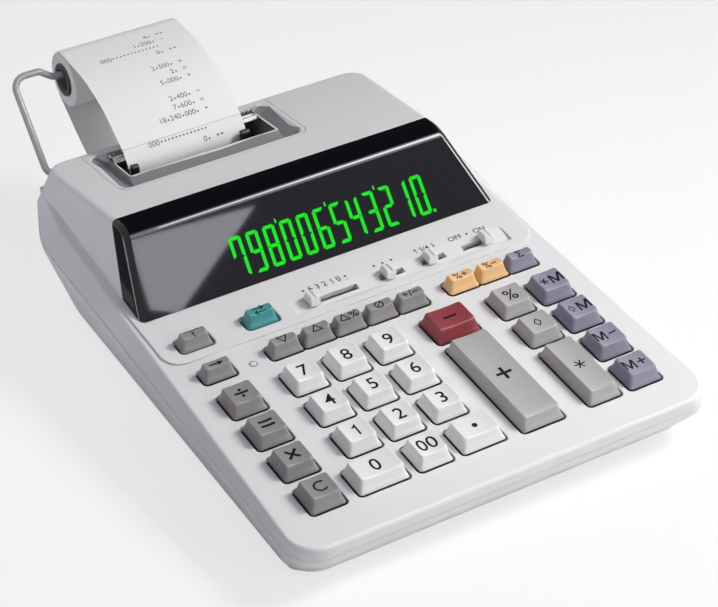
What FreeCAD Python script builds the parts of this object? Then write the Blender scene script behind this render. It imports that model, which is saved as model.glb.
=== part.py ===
"""A desk printing calculator: wedge case, display window, 36 keys, printer, paper roll and fold-down holder.

Millimetres.  Most pieces are drawn in the deck frame: x to the right from the centre line, y to the
back along the keyboard deck, z square to the deck, which is z = 0.  The finished piece is then tilted
into the world frame, where z = 0 is the desk top and the front of the case faces -Y.
"""
import FreeCAD, Part
import math
import os
import re
import Sketcher
from FreeCAD import Placement, Rotation, Vector

os.makedirs("parts", exist_ok=True)
doc = FreeCAD.newDocument("printing_calculator")
sheet = doc.addObject("Spreadsheet::Sheet", "Sizes")

# Driving sizes: name, value, what it is.
SIZES = (
    ("tilt", 6, "rise of the keyboard deck, degrees"),
    ("over", 1, "how far cutting pieces reach past what they cut"),
    ("sink", 0.1, "how deep joined pieces sink into each other"),
    ("behind", 10, "how far long cutting pieces reach past what they cut"),
    ("deck_rise", 28.9, "world height of the deck frame origin"),
    ("deck_shift", -71.5, "world y of the deck frame origin"),
    ("foot_gap", 3.5, "gap between the case bottom and the desk"),
    ("wall", 2.5, "wall of both case mouldings"),
    ("deck_half", 92, "half width of the deck at its front edge"),
    ("deck_front", -74.7, "front edge of the deck"),
    ("waist_half", 84.2, "half width of the deck where the rear corner begins"),
    ("waist_y", 138, "where the rear corner begins"),
    ("tail_half", 78.4, "half width of the deck at the rear"),
    ("tail_y", 169.4, "rear edge of the deck outline"),
    ("rim_out", 0.6, "how far the parting rim stands outside the deck edge"),
    ("rim_drop", 5, "depth of the parting line below the deck"),
    ("band", 3, "height of the upright band of the lower case"),
    ("corner", 13, "plan radius of the front corners"),
    ("waist_round", 60, "plan radius where the rear corner begins"),
    ("tail_round", 12, "plan radius of the rear corners"),
    ("keel", 50, "depth to which the lower case walls are drawn"),
    ("keel_side", 15, "inward lean of the sides over that depth"),
    ("keel_front", 29, "inward lean of the front over that depth"),
    ("keel_rear", 4, "inward lean of the rear over that depth"),
    ("hump_half", 83.1, "half width of the printer housing at the window foot"),
    ("hump_taper", 0.0327, "loss of half width per mm towards the back"),
    ("hump_rear", 168.8, "rear wall of the housing at deck level"),
    ("housing_ahead", 15, "how far the housing's walls are drawn ahead of the window foot"),
    ("housing_high", 30, "height to which the housing's walls are drawn"),
    ("side_draft", 0.331, "lean of the housing sides, mm per mm of height"),
    ("rear_draft", 0.194, "lean of the housing rear wall, mm per mm of height"),
    ("hump_round", 9.5, "plan radius of the housing's rear corners"),
    ("soft_edge", 3.2, "radius of the housing's top edges"),
    ("deck_edge", 1.4, "radius of the deck's outer edge"),
    ("window_foot", 64.7, "foot of the window slope"),
    ("window_slope", 35.8, "slope of the window, degrees"),
    ("crown", 97.27, "where the window slope would meet the roof"),
    ("crown_round", 12.5, "radius between window slope and roof"),
    ("roof_slope", 11.1, "fall of the roof towards the back, degrees"),
    ("window_back", 106.3, "rear edge of the window on the roof"),
    ("window_cheek", 82.7, "rear edge of the window at the foot of its cheeks"),
    ("window_wall", 2, "wall of the window"),
    ("window_gap", 0.15, "gap between the window and the case"),
    ("window_rim", 1, "width of the ledge behind the window"),
    ("window_sill", 0.2, "height of the window foot above the raised panel"),
    ("window_tail", 0.5, "depth of the rear edge of the window below the roof line"),
    ("window_ahead", 5, "how far the window zone reaches ahead of its foot"),
    ("ledge_thick", 1, "thickness of the ledge behind the window"),
    ("island_half", 85.2, "half width of the raised panel"),
    ("island_front", 37, "front edge of the raised panel"),
    ("island_rise", 0.6, "height of the raised panel"),
    ("island_round", 8, "plan radius of the raised panel"),
    ("island_short", 3, "how far the raised panel stops short of the rear of the housing"),
    ("recess_left", -25.7, "left end of the sloping recess behind the switches"),
    ("recess_long", 101, "length of that recess"),
    ("recess_reach", 5, "how far it reaches in front of and behind the switches"),
    ("recess_deep", 1, "its depth at the front"),
    ("key_gap", 0.9, "gap around each key in the deck"),
    ("key_rise", 5.5, "height of the key tops above the deck"),
    ("key_skirt", 3, "depth of the key skirts below the deck"),
    ("key_wall", 1.3, "wall of the key caps"),
    ("key_lean_side", 1.6, "inward lean of each key side"),
    ("key_lean_front", 2.6, "inward lean of the key fronts"),
    ("key_lean_back", 1.2, "inward lean of the key backs"),
    ("key_round", 1.4, "plan radius of the keys"),
    ("key_dish", 0.8, "depth of the dished key tops"),
    ("key_hollow", 1, "height above the deck of the hollow inside the keys"),
    ("key_stem", 4, "width of the square key stems"),
    ("key_stem_foot", 8, "depth of the stem ends below the deck"),
    ("stem_top", 1.5, "height of the stem tops above the deck"),
    ("stem_room", 0.1, "gap between a pressed stem and the circuit board"),
    ("key_travel", 3, "travel of each key"),
    ("key_pitch", 19, "pitch of the key columns"),
    ("key_row", 19.3, "pitch of the key rows"),
    ("key_across", 14.7, "width of a normal key"),
    ("key_deep", 14.5, "depth of a normal key"),
    ("zero_extra", 6.7, "extra width of the zero key"),
    ("broad_extra", 0.4, "extra width and depth of the broad keys"),
    ("plus_extra", 1.6, "extra depth of the plus key over three rows"),
    ("total_extra", 1, "extra depth of the total key over two rows"),
    ("minus_wider", 0.6, "extra width of the minus key"),
    ("minus_deeper", 1, "extra depth of the minus key"),
    ("key_home_x", -50.5, "left side of the first digit column"),
    ("key_home_y", -58, "front of the bottom key row"),
    ("function_column", -27, "left function keys from the first digit column"),
    ("plus_column", 64, "plus key from the first digit column"),
    ("total_column", 94.4, "total keys from the first digit column"),
    ("memory_column", 113.6, "memory keys from the first digit column"),
    ("block_drop", 0.9, "how far the right hand keys stand in front of the digit rows"),
    ("small_pitch", 14.5, "pitch of the small keys"),
    ("small_across", 14, "width of a small key"),
    ("small_deep", 8, "depth of a small key"),
    ("small_front", 22.5, "front of the small key row"),
    ("cost_column", 2.5, "first small key from the first digit column"),
    ("tax_column", 84.2, "first tax key from the first digit column"),
    ("tax_gap", 0.25, "gap between the tax keys"),
    ("panel_key_front", 42.4, "front of the keys on the raised panel"),
    ("feed_column", -26.4, "paper feed key from the first digit column"),
    ("exchange_column", 2.9, "exchange key from the first digit column"),
    ("stem_gap", 0.15, "gap around a key stem in its guide"),
    ("guide_tip", 6.8, "width of a stem guide at its tip"),
    ("guide_top", -6.2, "top of the stem guides"),
    ("pad_thick", 1.2, "thickness of the rubber key sheet"),
    ("pad_in", 1, "how far the key sheet stays inside the circuit board"),
    ("guide_across", 9, "width of a stem guide at its foot"),
    ("board_half", 77.5, "half width of the circuit board"),
    ("board_front", -66, "front edge of the circuit board"),
    ("board_back", 56, "rear edge of the circuit board"),
    ("board_thick", 1.6, "thickness of the circuit board"),
    ("board_post_x", 66, "posts under the circuit board from the centre line"),
    ("board_post_in", 6, "those posts from the front and rear edges of the board"),
    ("board_post", 6, "diameter of those posts"),
    ("switch_y", 46, "middle line of the slide switches"),
    ("knob_across", 4.6, "width of a slide knob"),
    ("knob_deep", 7, "depth of a slide knob"),
    ("knob_rise", 4.5, "height of the slide knobs above the deck"),
    ("knob_round", 0.6, "plan radius of the slide knobs"),
    ("knob_gap", 0.1, "gap under the slide knobs"),
    ("knob_lean_side", 0.4, "inward lean of the knob sides"),
    ("knob_lean_deep", 1.2, "inward lean of the knob fronts and backs"),
    ("groove_wide", 1, "width of the finger groove"),
    ("groove_deep", 0.8, "depth of the finger groove"),
    ("knob_neck", 2.4, "depth of a slide knob's neck"),
    ("neck_wide", 2, "width of a slide knob's neck"),
    ("neck_below", 1.5, "how far the necks reach below the deck"),
    ("slot_deep", 3, "depth of the slots under the slide knobs"),
    ("slot_end", 0.6, "spare length at each end of a slot"),
    ("post_width", 7, "diameter of the screw posts"),
    ("post_extra", 1.5, "extra radius of the lower screw posts"),
    ("post_meet", 8, "depth where upper and lower posts meet"),
    ("front_post_x", 83, "front screw posts from the centre line"),
    ("front_post_y", -59, "front screw posts"),
    ("rear_post_x", 64, "rear screw posts from the centre line"),
    ("rear_post_y", 150, "rear screw posts"),
    ("screw_shank", 3, "diameter of the case screws"),
    ("screw_head", 5.6, "diameter of the screw heads"),
    ("head_tall", 2.2, "height of the screw heads"),
    ("screw_clear", 0.2, "gap around the screws"),
    ("screw_seat", 12, "depth of the screw head seats"),
    ("screw_long", 8, "length of the screw shanks"),
    ("foot_across", 14, "diameter of the rubber feet"),
    ("foot_round", 1, "rounded rim of the rubber feet"),
    ("foot_x_front", 70, "front feet from the centre line"),
    ("foot_y_front", -119.7, "front feet, world y"),
    ("foot_x_rear", 60, "rear feet from the centre line"),
    ("foot_y_rear", 80.3, "rear feet, world y"),
    ("cover_left", -60.5, "left edge of the printer cover"),
    ("cover_right", 28, "right edge of the printer cover"),
    ("cover_front", 125.4, "front edge of the printer cover"),
    ("cover_foot", 3, "lower edge of the cover on the rear wall"),
    ("cover_blank", 6, "depth of the cover under its dish"),
    ("cover_gap", 0.15, "gap around the printer cover"),
    ("cover_round", 6, "plan radius of the cover's front corners"),
    ("dish_margin", 1.5, "flat margin around the cover's dish"),
    ("dish_drop", 3.4, "depth of the dish"),
    ("dish_round", 4, "plan radius of the dish"),
    ("dish_behind", 6, "depth of the dish behind the mouth"),
    ("dish_slack", 0.6, "gap between the dish walls and the lip at its floor"),
    ("dish_floor_round", 2, "plan radius of the floor of the dish"),
    ("mouth_left", -50.9, "left side of the paper mouth"),
    ("mouth_right", 18, "right side of the paper mouth"),
    ("mouth_front", 136.7, "front side of the paper mouth"),
    ("mouth_back", 156, "rear side of the paper mouth"),
    ("mouth_slant", 6, "how far the right wall of the mouth slants inward over the cover's depth"),
    ("lip_wide", 0.7, "width of the edge of the lip around the mouth"),
    ("lip_low", 0.3, "depth of that edge below the roof"),
    ("lip_lean", 1, "how far the lip widens towards its foot"),
    ("lip_ramp", 4.6, "how much further it widens in front"),
    ("lip_round", 1, "plan radius of the lip"),
    ("lip_root", 0.5, "how deep the lip stands in the floor of the dish"),
    ("mouth_round", 0.6, "plan radius of the mouth"),
    ("paper_left", -46.5, "left edge of the paper"),
    ("paper_wide", 56, "width of the paper"),
    ("paper_thick", 0.25, "thickness of the drawn paper"),
    ("roll_radius", 12, "radius of the paper roll"),
    ("core_radius", 7.3, "outer radius of the roll core"),
    ("core_bore", 5, "inner radius of the roll core"),
    ("core_gap", 0.05, "gap between roll and core"),
    ("core_out", 1, "how far the core stands out of the roll"),
    ("wire", 3, "diameter of the holder wire"),
    ("wire_gap", 0.3, "gap between the wire and the roll core"),
    ("hinge_y", 176, "holder hinge line"),
    ("hinge_z", -4, "holder hinge line"),
    ("hinge_end", -30, "inner end of the hinge wire"),
    ("arm_x", -70.5, "plane of the holder arm"),
    ("spindle_y", 208.5, "roll spindle"),
    ("spindle_z", 21.7, "roll spindle"),
    ("spindle_end", 13, "free end of the roll spindle"),
    ("arm_top", 26.5, "top bend of the holder arm"),
    ("crank_out", 11.5, "where the holder starts to drop, from the paper edge"),
    ("crank_in", 5, "where the spindle begins, from the paper edge"),
    ("arm_round", 5, "bend of the holder at its hinge"),
    ("top_round", 6, "bend of the holder at its top"),
    ("crank_round", 3.5, "bends of the drop to the spindle"),
    ("lug_wide", 6, "width of the hinge lugs"),
    ("lug_in", 4.5, "outer lug from the holder arm"),
    ("lug_end", 8, "inner lug from the end of the hinge wire"),
    ("lug_low", 7, "how far the lugs reach below the hinge line"),
    ("lug_tall", 9.6, "height of the lugs"),
    ("lug_back", 2.8, "how far the lugs reach behind the hinge line"),
    ("lug_gap", 0.4, "gap between the upper lugs and the rear wall"),
    ("platen_y", 153.5, "platen axis"),
    ("platen_z", -8, "platen axis"),
    ("platen_radius", 6, "radius of the platen"),
    ("platen_past", 3, "how far the platen reaches past the paper"),
    ("wheel_y", 138.2, "print wheel axis"),
    ("wheel_radius", 7, "radius of the print wheels"),
    ("barrel_drop", 1.6, "depth of the grooves between the print wheels"),
    ("barrel_in", 1, "ends of the wheel barrel from the paper edges"),
    ("wheel_first", 1.5, "first print wheel from the paper edge"),
    ("wheel_pitch", 4.1, "pitch of the print wheels"),
    ("wheel_wide", 3, "width of a print wheel"),
    ("wheel_count", 13, "number of print wheels"),
    ("shaft_radius", 1.5, "radius of the printer shafts"),
    ("shaft_gap", 0.08, "running gap of the printer shafts"),
    ("shaft_past", 1.5, "how far the shafts stand out of the frame's left plate"),
    ("frame_left", -55, "middle of the printer frame's left plate"),
    ("frame_right", 21, "middle of the printer frame's right plate"),
    ("frame_plate", 2, "thickness of the printer frame's plates"),
    ("plate_gap", 0.3, "gap between the frame plates and the printer cover"),
    ("frame_post_in", 5, "posts under the printer frame from its plates"),
    ("frame_post_end", 4, "those posts from the front and rear edges of the frame"),
    ("frame_post", 7, "diameter of those posts"),
    ("frame_base", -26, "underside of the printer frame"),
    ("frame_front", 128, "front edge of the printer frame"),
    ("frame_back", 160.5, "rear edge of the printer frame"),
    ("platen_teeth", 24, "teeth of the platen gear"),
    ("wheel_teeth", 16, "teeth of the print wheel gear"),
    ("gear_wide", 3, "width of the printer gears"),
    ("gear_gap", 0.5, "gap between the gears and the right plate"),
    ("motor_radius", 9, "radius of the printer motor"),
    ("motor_room", 1.5, "gap between the printer motor and the case wall"),
    ("motor_y", 134, "printer motor axis"),
    ("motor_z", -19.5, "printer motor axis"),
    ("motor_shaft", 2, "diameter of the motor shaft"),
    ("motor_shaft_long", 6, "how far the motor shaft stands out"),
    ("tube_left", -44, "left end of the display tube"),
    ("tube_long", 112, "length of the display tube"),
    ("tube_tall", 19, "height of the display tube"),
    ("tube_deep", 5, "thickness of the display tube"),
    ("tube_gap", 0.3, "gap between the tube and the window"),
    ("tube_up", 8, "distance of the tube up the window slope"),
    ("core_x", 30, "left side of the transformer"),
    ("core_y", 28.3, "front of the transformer, world y"),
    ("core_wide", 42, "width of the transformer core"),
    ("core_deep", 20, "stack of the transformer core"),
    ("core_tall", 32, "height of the transformer core"),
    ("winding_in", 8, "winding from the sides of the core, and past its faces"),
    ("winding_up", 6, "winding from the top and bottom of the core"),
    ("tab_out", 7, "how far the core tabs reach out"),
    ("tab_in", 3, "core tabs from the faces of the core"),
    ("tab_thick", 1.5, "thickness of the core tabs"),
    ("slot_y", 168.5, "where the paper bends in the rear slot"),
    ("slot_z", -17, "where the paper bends in the rear slot"),
    ("slot_tall", 5, "height of the rear paper slot"),
    ("slot_side", 2, "spare width at each end of the paper slot"),
    ("bar_right", 16.4, "right end of the tear bar"),
    ("bar_thick", 1.2, "thickness of the tear bar"),
    ("bar_tall", 4.3, "height of the tear bar along its slope"),
    ("bar_foot_y", 150.2, "lower front edge of the tear bar"),
    ("bar_lift", 0.2, "gap under the tear bar"),
    ("bar_slope", 46, "slope of the tear bar, degrees"),
    ("bar_rest", 0.7, "how far the foot of the tear bar lies on the lip behind the mouth"),
    ("bar_edge", 0.6, "flat of the upper edge of the tear bar"),
    ("bar_past", 0.8, "how far the tear bar reaches past the mouth"),
    ("tooth_pitch", 2, "pitch of the tear bar's teeth"),
    ("tooth_deep", 0.8, "depth of the tear bar's teeth"),
    ("tape_gap", 0.3, "gap between the tape and the tear bar behind it"),
    ("exit_low", 4.5, "depth below the tear bar's foot where the tape bends towards the platen"),
    ("exit_round", 12, "bend of the tape there"),
    ("fold_round", 2, "bend of the tape over the tear bar's teeth"),
    ("sag_y", 24.7, "shallow bend of the tape behind the exit"),
    ("sag_z", 17.6, "height of that bend above the exit"),
    ("sag_round", 40, "its radius"),
    ("crest_y", 12, "last bend of the tape behind the hinge line"),
    ("crest_z", 9.6, "height of that bend above the spindle"),
    ("crest_round", 60, "its radius"),
    ("wrap", 42, "how far the tape lies on the roll, degrees"),
    ("wrap_tail", 0.5, "straight end of the tape"),
    ("strip_gap", 0.4, "gap between the strip and the bend in the slot"),
    ("inlet_x", 56, "cord inlet from the centre line"),
    ("inlet_z", -24, "cord inlet below the deck plane"),
    ("inlet_bore", 7.5, "bore of the cord inlet"),
    ("inlet_collar", 12, "diameter of the cord inlet's collar"),
    ("collar_in", 6, "how far the collar stands inside the rear wall"),
    ("collar_long", 7, "length of the collar"),
)

for row, (alias, value, meaning) in enumerate(SIZES, start=1):
    sheet.set("A%d" % row, alias)
    sheet.set("B%d" % row, str(value))
    sheet.setAlias("B%d" % row, alias)
    sheet.set("C%d" % row, meaning)
doc.recompute()

ALIASES = {alias for alias, value, meaning in SIZES}

# Sizes that follow from the driving ones
DERIVED = {
    "rim_half": "deck_half + rim_out",
    "rim_tail_half": "tail_half + rim_out",
    "rim_tail_y": "tail_y + rim_out",
    "board_top": "-key_stem_foot - key_travel - stem_room",
    "pad_top": "board_top + pad_thick",
    "motor_end": "keel_side + wall + motor_room - rim_half",
}
# Points and faces closer than this lie on each other
NEAR = 0.05
finished = []


def formula(text):
    """Turn bare size names into references to the sheet."""
    def refer(found):
        name = found.group(0)
        if name in DERIVED:
            return "(%s)" % formula(DERIVED[name])
        return "Sizes." + name if name in ALIASES else name
    return re.sub(r"[A-Za-z_][A-Za-z_0-9]*", refer, str(text))


def worth(text):
    """The present value of a formula."""
    return float(sheet.evalExpression(formula(text)))


def bind(thing, **links):
    """Tie properties to formulas; double underscores stand for the dots of a property's path."""
    for path, text in links.items():
        thing.setExpression(path.replace("__", "."), formula(text))


def place(thing, x="0", y="0", z="0"):
    """Tie the position of an object to formulas."""
    bind(thing, Placement__Base__x=x, Placement__Base__y=y, Placement__Base__z=z)


# Sketches


def rounded(sketch, corners):
    """Draw a closed outline through corners given as (x, y, radius) formulas; radius None is sharp."""
    count = len(corners)
    points = [Vector(worth(x), worth(y), 0) for x, y, radius in corners]
    radii = [0 if radius is None else worth(radius) for x, y, radius in corners]
    spans = []
    clockwise = []
    for index in range(count):
        back = (points[index - 1] - points[index]).normalize()
        ahead = (points[(index + 1) % count] - points[index]).normalize()
        clockwise.append(back.cross(ahead).z)
        half = back.getAngle(ahead) / 2
        reach = radii[index] / math.tan(half)
        middle = (back + ahead).normalize()
        apex = points[index] + middle * (radii[index] / math.sin(half) - radii[index])
        spans.append((points[index] + back * reach, apex, points[index] + ahead * reach))
    first = sketch.GeometryCount
    shapes = [Part.LineSegment(spans[i][2], spans[(i + 1) % count][0]) for i in range(count)]
    arcs = {}
    marks = {}
    for index in range(count):
        if radii[index]:
            arcs[index] = first + len(shapes)
            ends = spans[index] if clockwise[index] < 0 else reversed(spans[index])
            shapes.append(Part.Arc(*ends))
            marks[index] = first + len(shapes)
            shapes.append(Part.Point(points[index]))
    sketch.addGeometry(shapes, False)
    rules = []
    links = []
    for index, (x, y, radius) in enumerate(corners):
        before = first + (index - 1) % count
        after = first + index
        if radii[index]:
            arc = arcs[index]
            begins = sketch.Geometry[arc].StartPoint.distanceToPoint(spans[index][0])
            start = 1 if begins < sketch.Geometry[arc].EndPoint.distanceToPoint(spans[index][0]) else 2
            rules.append(Sketcher.Constraint("Tangent", before, 2, arc, start))
            rules.append(Sketcher.Constraint("Tangent", after, 1, arc, 3 - start))
            rules.append(Sketcher.Constraint("PointOnObject", marks[index], 1, before))
            rules.append(Sketcher.Constraint("PointOnObject", marks[index], 1, after))
            links.append((len(rules), radius))
            rules.append(Sketcher.Constraint("Radius", arc, radii[index]))
            held = marks[index]
        else:
            rules.append(Sketcher.Constraint("Coincident", before, 2, after, 1))
            held = after
        links.append((len(rules), x))
        rules.append(Sketcher.Constraint("DistanceX", -1, 1, held, 1, points[index].x))
        links.append((len(rules), y))
        rules.append(Sketcher.Constraint("DistanceY", -1, 1, held, 1, points[index].y))
    known = sketch.ConstraintCount
    sketch.addConstraint(rules)
    for offset, text in links:
        sketch.setExpression("Constraints[%d]" % (known + offset), formula(text))


def plan(name, corners, z="0"):
    """A free outline square to the deck at depth z."""
    sketch = doc.addObject("Sketcher::SketchObject", name)
    place(sketch, z=z)
    rounded(sketch, corners)
    return sketch


def side(name, corners, x="0"):
    """A free outline in a plane of constant x; its own x runs along y and its own y along z."""
    sketch = doc.addObject("Sketcher::SketchObject", name)
    sketch.Placement = Placement(Vector(), Rotation(Vector(1, 1, 1), 120))
    place(sketch, x=x)
    rounded(sketch, corners)
    return sketch


def box_corners(left, front, right, back, radius=None):
    """The four corners of a rectangle."""
    return [(left, front, radius), (right, front, radius), (right, back, radius), (left, back, radius)]


# Solids


def prism(name, sketch, forward, backward="0"):
    """Extrude a free sketch along its normal."""
    solid = doc.addObject("Part::Extrusion", name)
    solid.Base = sketch
    solid.DirMode = "Normal"
    solid.Solid = True
    bind(solid, LengthFwd=forward, LengthRev=backward)
    return solid


def loft(name, sketches):
    """A ruled solid through free sketches."""
    solid = doc.addObject("Part::Loft", name)
    solid.Sections = sketches
    solid.Solid = True
    solid.Ruled = True
    return solid


def box(name, x, y, z, length, width, height):
    """A box from its lowest corner and its sizes."""
    solid = doc.addObject("Part::Box", name)
    bind(solid, Length=length, Width=width, Height=height)
    place(solid, x, y, z)
    return solid


AXES = {"x": Rotation(Vector(0, 1, 0), 90), "y": Rotation(Vector(1, 0, 0), -90), "z": Rotation()}


def rod(name, axis, x, y, z, radius, length):
    """A cylinder from the middle of its first end along +x, +y or +z."""
    solid = doc.addObject("Part::Cylinder", name)
    solid.Placement = Placement(Vector(), AXES[axis])
    bind(solid, Radius=radius, Height=length)
    place(solid, x, y, z)
    return solid


def fuse(name, pieces):
    """Join pieces."""
    solid = doc.addObject("Part::MultiFuse", name)
    solid.Shapes = pieces
    return solid


def group(name, pieces):
    """Keep pieces together as separate solids."""
    solid = doc.addObject("Part::Compound", name)
    solid.Links = pieces
    return solid


def cut(name, base, tool):
    """Take one piece away from another."""
    solid = doc.addObject("Part::Cut", name)
    solid.Base = base
    solid.Tool = tool
    return solid


def common(name, base, tool):
    """What two pieces share."""
    solid = doc.addObject("Part::Common", name)
    solid.Base = base
    solid.Tool = tool
    return solid


def finish(solid, label, x="0", y="0", z="0"):
    """Name a finished piece and tilt it from the deck frame, where its origin is x, y, z."""
    solid.Label = label
    solid.Placement = Placement(Vector(), Rotation(Vector(1, 0, 0), worth("tilt")))
    solid.setExpression("Placement.Rotation.Angle", formula("tilt * 1 deg"))
    place(solid, x, "deck_shift + (%s) * cos(tilt) - (%s) * sin(tilt)" % (y, z),
          "deck_rise + (%s) * sin(tilt) + (%s) * cos(tilt)" % (y, z))
    finished.append(solid)


def finish_level(solid, label):
    """Name a finished piece that is drawn in the world frame."""
    solid.Label = label
    finished.append(solid)


# Outlines of the case


def outline(name, z, front, half, waist_half, tail_half, tail_y, inset="0"):
    """The plan outline of the case, optionally moved inwards by a wall."""
    corners = []
    right = (("(%s) - (%s)" % (half, inset), "(%s) + (%s)" % (front, inset), "corner"),
             ("(%s) - (%s)" % (waist_half, inset), "waist_y", "waist_round"),
             ("(%s) - (%s)" % (tail_half, inset), "(%s) - (%s)" % (tail_y, inset), "tail_round"))
    for x, y, radius in right:
        corners.append((x, y, radius))
    for x, y, radius in reversed(right):
        corners.append(("-(%s)" % x, y, radius))
    return plan(name, corners, z)


def deck_outline(name, z, inset="0"):
    """The crisp upper edge of the case."""
    return outline(name, z, "deck_front", "deck_half", "waist_half", "tail_half", "tail_y", inset)


def rim_outline(name, z, inset="0"):
    """The widest outline of the case, at the parting line."""
    return outline(name, z, "deck_front - rim_out", "rim_half", "rim_half", "rim_tail_half",
                   "rim_tail_y", inset)


def keel_outline(name, z, inset="0"):
    """The outline to which the lower walls lean in."""
    return outline(name, z, "deck_front - rim_out + keel_front", "rim_half - keel_side",
                   "rim_half - keel_side", "rim_tail_half - keel_side", "rim_tail_y - keel_rear", inset)


def below_level(name, height):
    """Everything under a level world plane, drawn in the deck frame."""
    reach = 300
    solid = doc.addObject("Part::Box", name)
    solid.Length = reach
    solid.Width = 2 * reach
    solid.Height = reach
    solid.Placement = Placement(Vector(-reach / 2, 0, 0), Rotation(Vector(1, 0, 0), -worth("tilt")))
    solid.setExpression("Placement.Rotation.Angle", formula("-tilt * 1 deg"))
    across = "(-%d - deck_shift)" % reach
    up = "(%s - %d - deck_rise)" % (height, reach)
    bind(solid, Placement__Base__y="%s * cos(tilt) + %s * sin(tilt)" % (across, up),
         Placement__Base__z="%s * cos(tilt) - %s * sin(tilt)" % (up, across))
    return solid


# The printer housing and what is cut from its skin

ROOF = "(crown - window_foot) * tan(window_slope) - ((%s) - crown) * tan(roof_slope)"
HOUSING_FRONT = "window_foot - housing_ahead"


def housing_plan(name, z, inset):
    """The housing's plan outline at height z."""
    def half(y):
        return ("hump_half - hump_taper * ((%s) - window_foot) - side_draft * (%s) - (%s)"
                % (y, z, inset))
    rear = "hump_rear - rear_draft * (%s) - (%s)" % (z, inset)
    front = half(HOUSING_FRONT)
    back = half(rear)
    corners = [(front, HOUSING_FRONT, None), (back, rear, "hump_round"),
               ("-(%s)" % back, rear, "hump_round"), ("-(%s)" % front, HOUSING_FRONT, None)]
    return plan(name, corners, z)


def housing(name, inset, low="-rim_drop"):
    """The solid under the housing's outer faces, moved inwards by inset."""
    walls = loft(name + "_walls", [housing_plan(name + "_low", low, inset),
                                   housing_plan(name + "_high", "housing_high", inset)])
    foot = "window_foot + (%s) / sin(window_slope)" % inset
    shrink = "(%s) / (1 + cos(window_slope + roof_slope))" % inset
    bend = "crown + (sin(window_slope) - sin(roof_slope)) * " + shrink
    rise = "%s - (cos(window_slope) + cos(roof_slope)) * %s" % (ROOF % "crown", shrink)
    past = "hump_rear + behind"
    profile = [(foot, low, None), (foot, "0", None), (bend, rise, "crown_round - (%s)" % inset),
               (past, "%s - (%s) / cos(roof_slope)" % (ROOF % past, inset), None),
               (past, low, None)]
    body = prism(name + "_profile", side(name + "_side", profile, "-rim_half"), "2 * rim_half")
    return common(name, walls, body)


def window_zone(name, grow):
    """The side view region of the window, extruded right across; grow widens it."""
    corners = [("window_foot - window_ahead", "island_rise + window_sill - (%s)" % grow, None),
               ("window_cheek + (%s)" % grow, "island_rise + window_sill - (%s)" % grow, None),
               ("window_back + (%s)" % grow, "%s - window_tail" % (ROOF % "window_back"), None),
               ("window_back + (%s)" % grow, "housing_high", None),
               ("window_foot - window_ahead", "housing_high", None)]
    return prism(name, side(name + "_side", corners, "-rim_half"), "2 * rim_half")


def cover_zone(name, grow):
    """The region of the printer cover; grow widens it."""
    corners = [("cover_left - (%s)" % grow, "cover_front - (%s)" % grow, "cover_round"),
               ("cover_right + (%s)" % grow, "cover_front - (%s)" % grow, "cover_round"),
               ("cover_right + (%s)" % grow, "hump_rear + behind", None),
               ("cover_left - (%s)" % grow, "hump_rear + behind", None)]
    return prism(name, plan(name + "_plan", corners, "cover_foot - (%s)" % grow), "housing_high")


housing_sharp = housing("housing_sharp", "0")
doc.recompute()


def soft_edges(shape):
    """The numbers of the edges between the housing's sides and its roof, crown and window slope."""
    least = 1
    chosen = []
    for number, edge in enumerate(shape.Edges, start=1):
        ends = [vertex.Point for vertex in edge.Vertexes]
        ends.append(edge.valueAt((edge.FirstParameter + edge.LastParameter) / 2))
        on_roof = all(abs(point.z - worth(ROOF % str(point.y))) < NEAR for point in ends)
        behind = all(point.y > worth("crown") for point in ends)
        along = abs(ends[0].y - ends[-1].y) > NEAR or abs(ends[0].x) < worth("hump_half")
        across_window = abs(ends[0].y - ends[1].y) < NEAR and ends[0].y < worth("window_back")
        forward = abs(ends[0].y - ends[1].y) > least and not on_roof
        down_slope = forward and all(point.y > worth("window_foot") - NEAR and point.z > -NEAR for point in ends)
        if (on_roof and behind and along and not across_window) or down_slope:
            chosen.append(number)
    return chosen


housing_outer = doc.addObject("Part::Fillet", "housing_outer")
housing_outer.Base = housing_sharp
housing_outer.Edges = [(number, worth("soft_edge"), worth("soft_edge"))
                       for number in soft_edges(housing_sharp.Shape)]
housing_wall = housing("housing_wall", "wall", "-rim_drop - 2 * over")
housing_rebate = housing("housing_rebate", "window_wall + window_gap")
housing_ledge = housing("housing_ledge", "window_wall + window_gap + ledge_thick", "-rim_drop - 2 * over")
doc.recompute()


# Keys: their sizes by name, then name, size, left side and front of each key

COLUMN = "key_home_x + %d * key_pitch"
ROW = "key_home_y + %d * key_row"
BLOCK = ROW + " - block_drop"

KEY_SIZES = {
    "normal": ("key_across", "key_deep"),
    "broad": ("key_across + broad_extra", "key_deep + broad_extra"),
    "small": ("small_across", "small_deep"),
    "zero": ("key_across + zero_extra", "key_deep"),
    "point": ("key_pitch", "key_deep"),
    "plus": ("key_pitch", "2 * key_row + key_deep + plus_extra"),
    "minus": ("key_pitch + minus_wider", "key_deep + minus_deeper"),
    "total": ("key_across + broad_extra", "key_row + key_deep + total_extra"),
}
KEYS = [("zero", "zero", "key_home_x - zero_extra", ROW % 0), ("double_zero", "normal", COLUMN % 1, ROW % 0),
        ("point", "point", COLUMN % 2, ROW % 0)]
for row, names in enumerate((("one", "two", "three"), ("four", "five", "six"), ("seven", "eight", "nine"))):
    for column, name in enumerate(names):
        KEYS.append((name, "normal", COLUMN % column, ROW % (row + 1)))
for row, name in enumerate(("clear", "multiply", "equals", "divide")):
    KEYS.append((name, "normal", "key_home_x + function_column", ROW % row))
for row, name in enumerate(("memory_plus", "memory_minus", "memory_subtotal", "memory_total")):
    KEYS.append((name, "broad", "key_home_x + memory_column", BLOCK % row))
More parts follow.
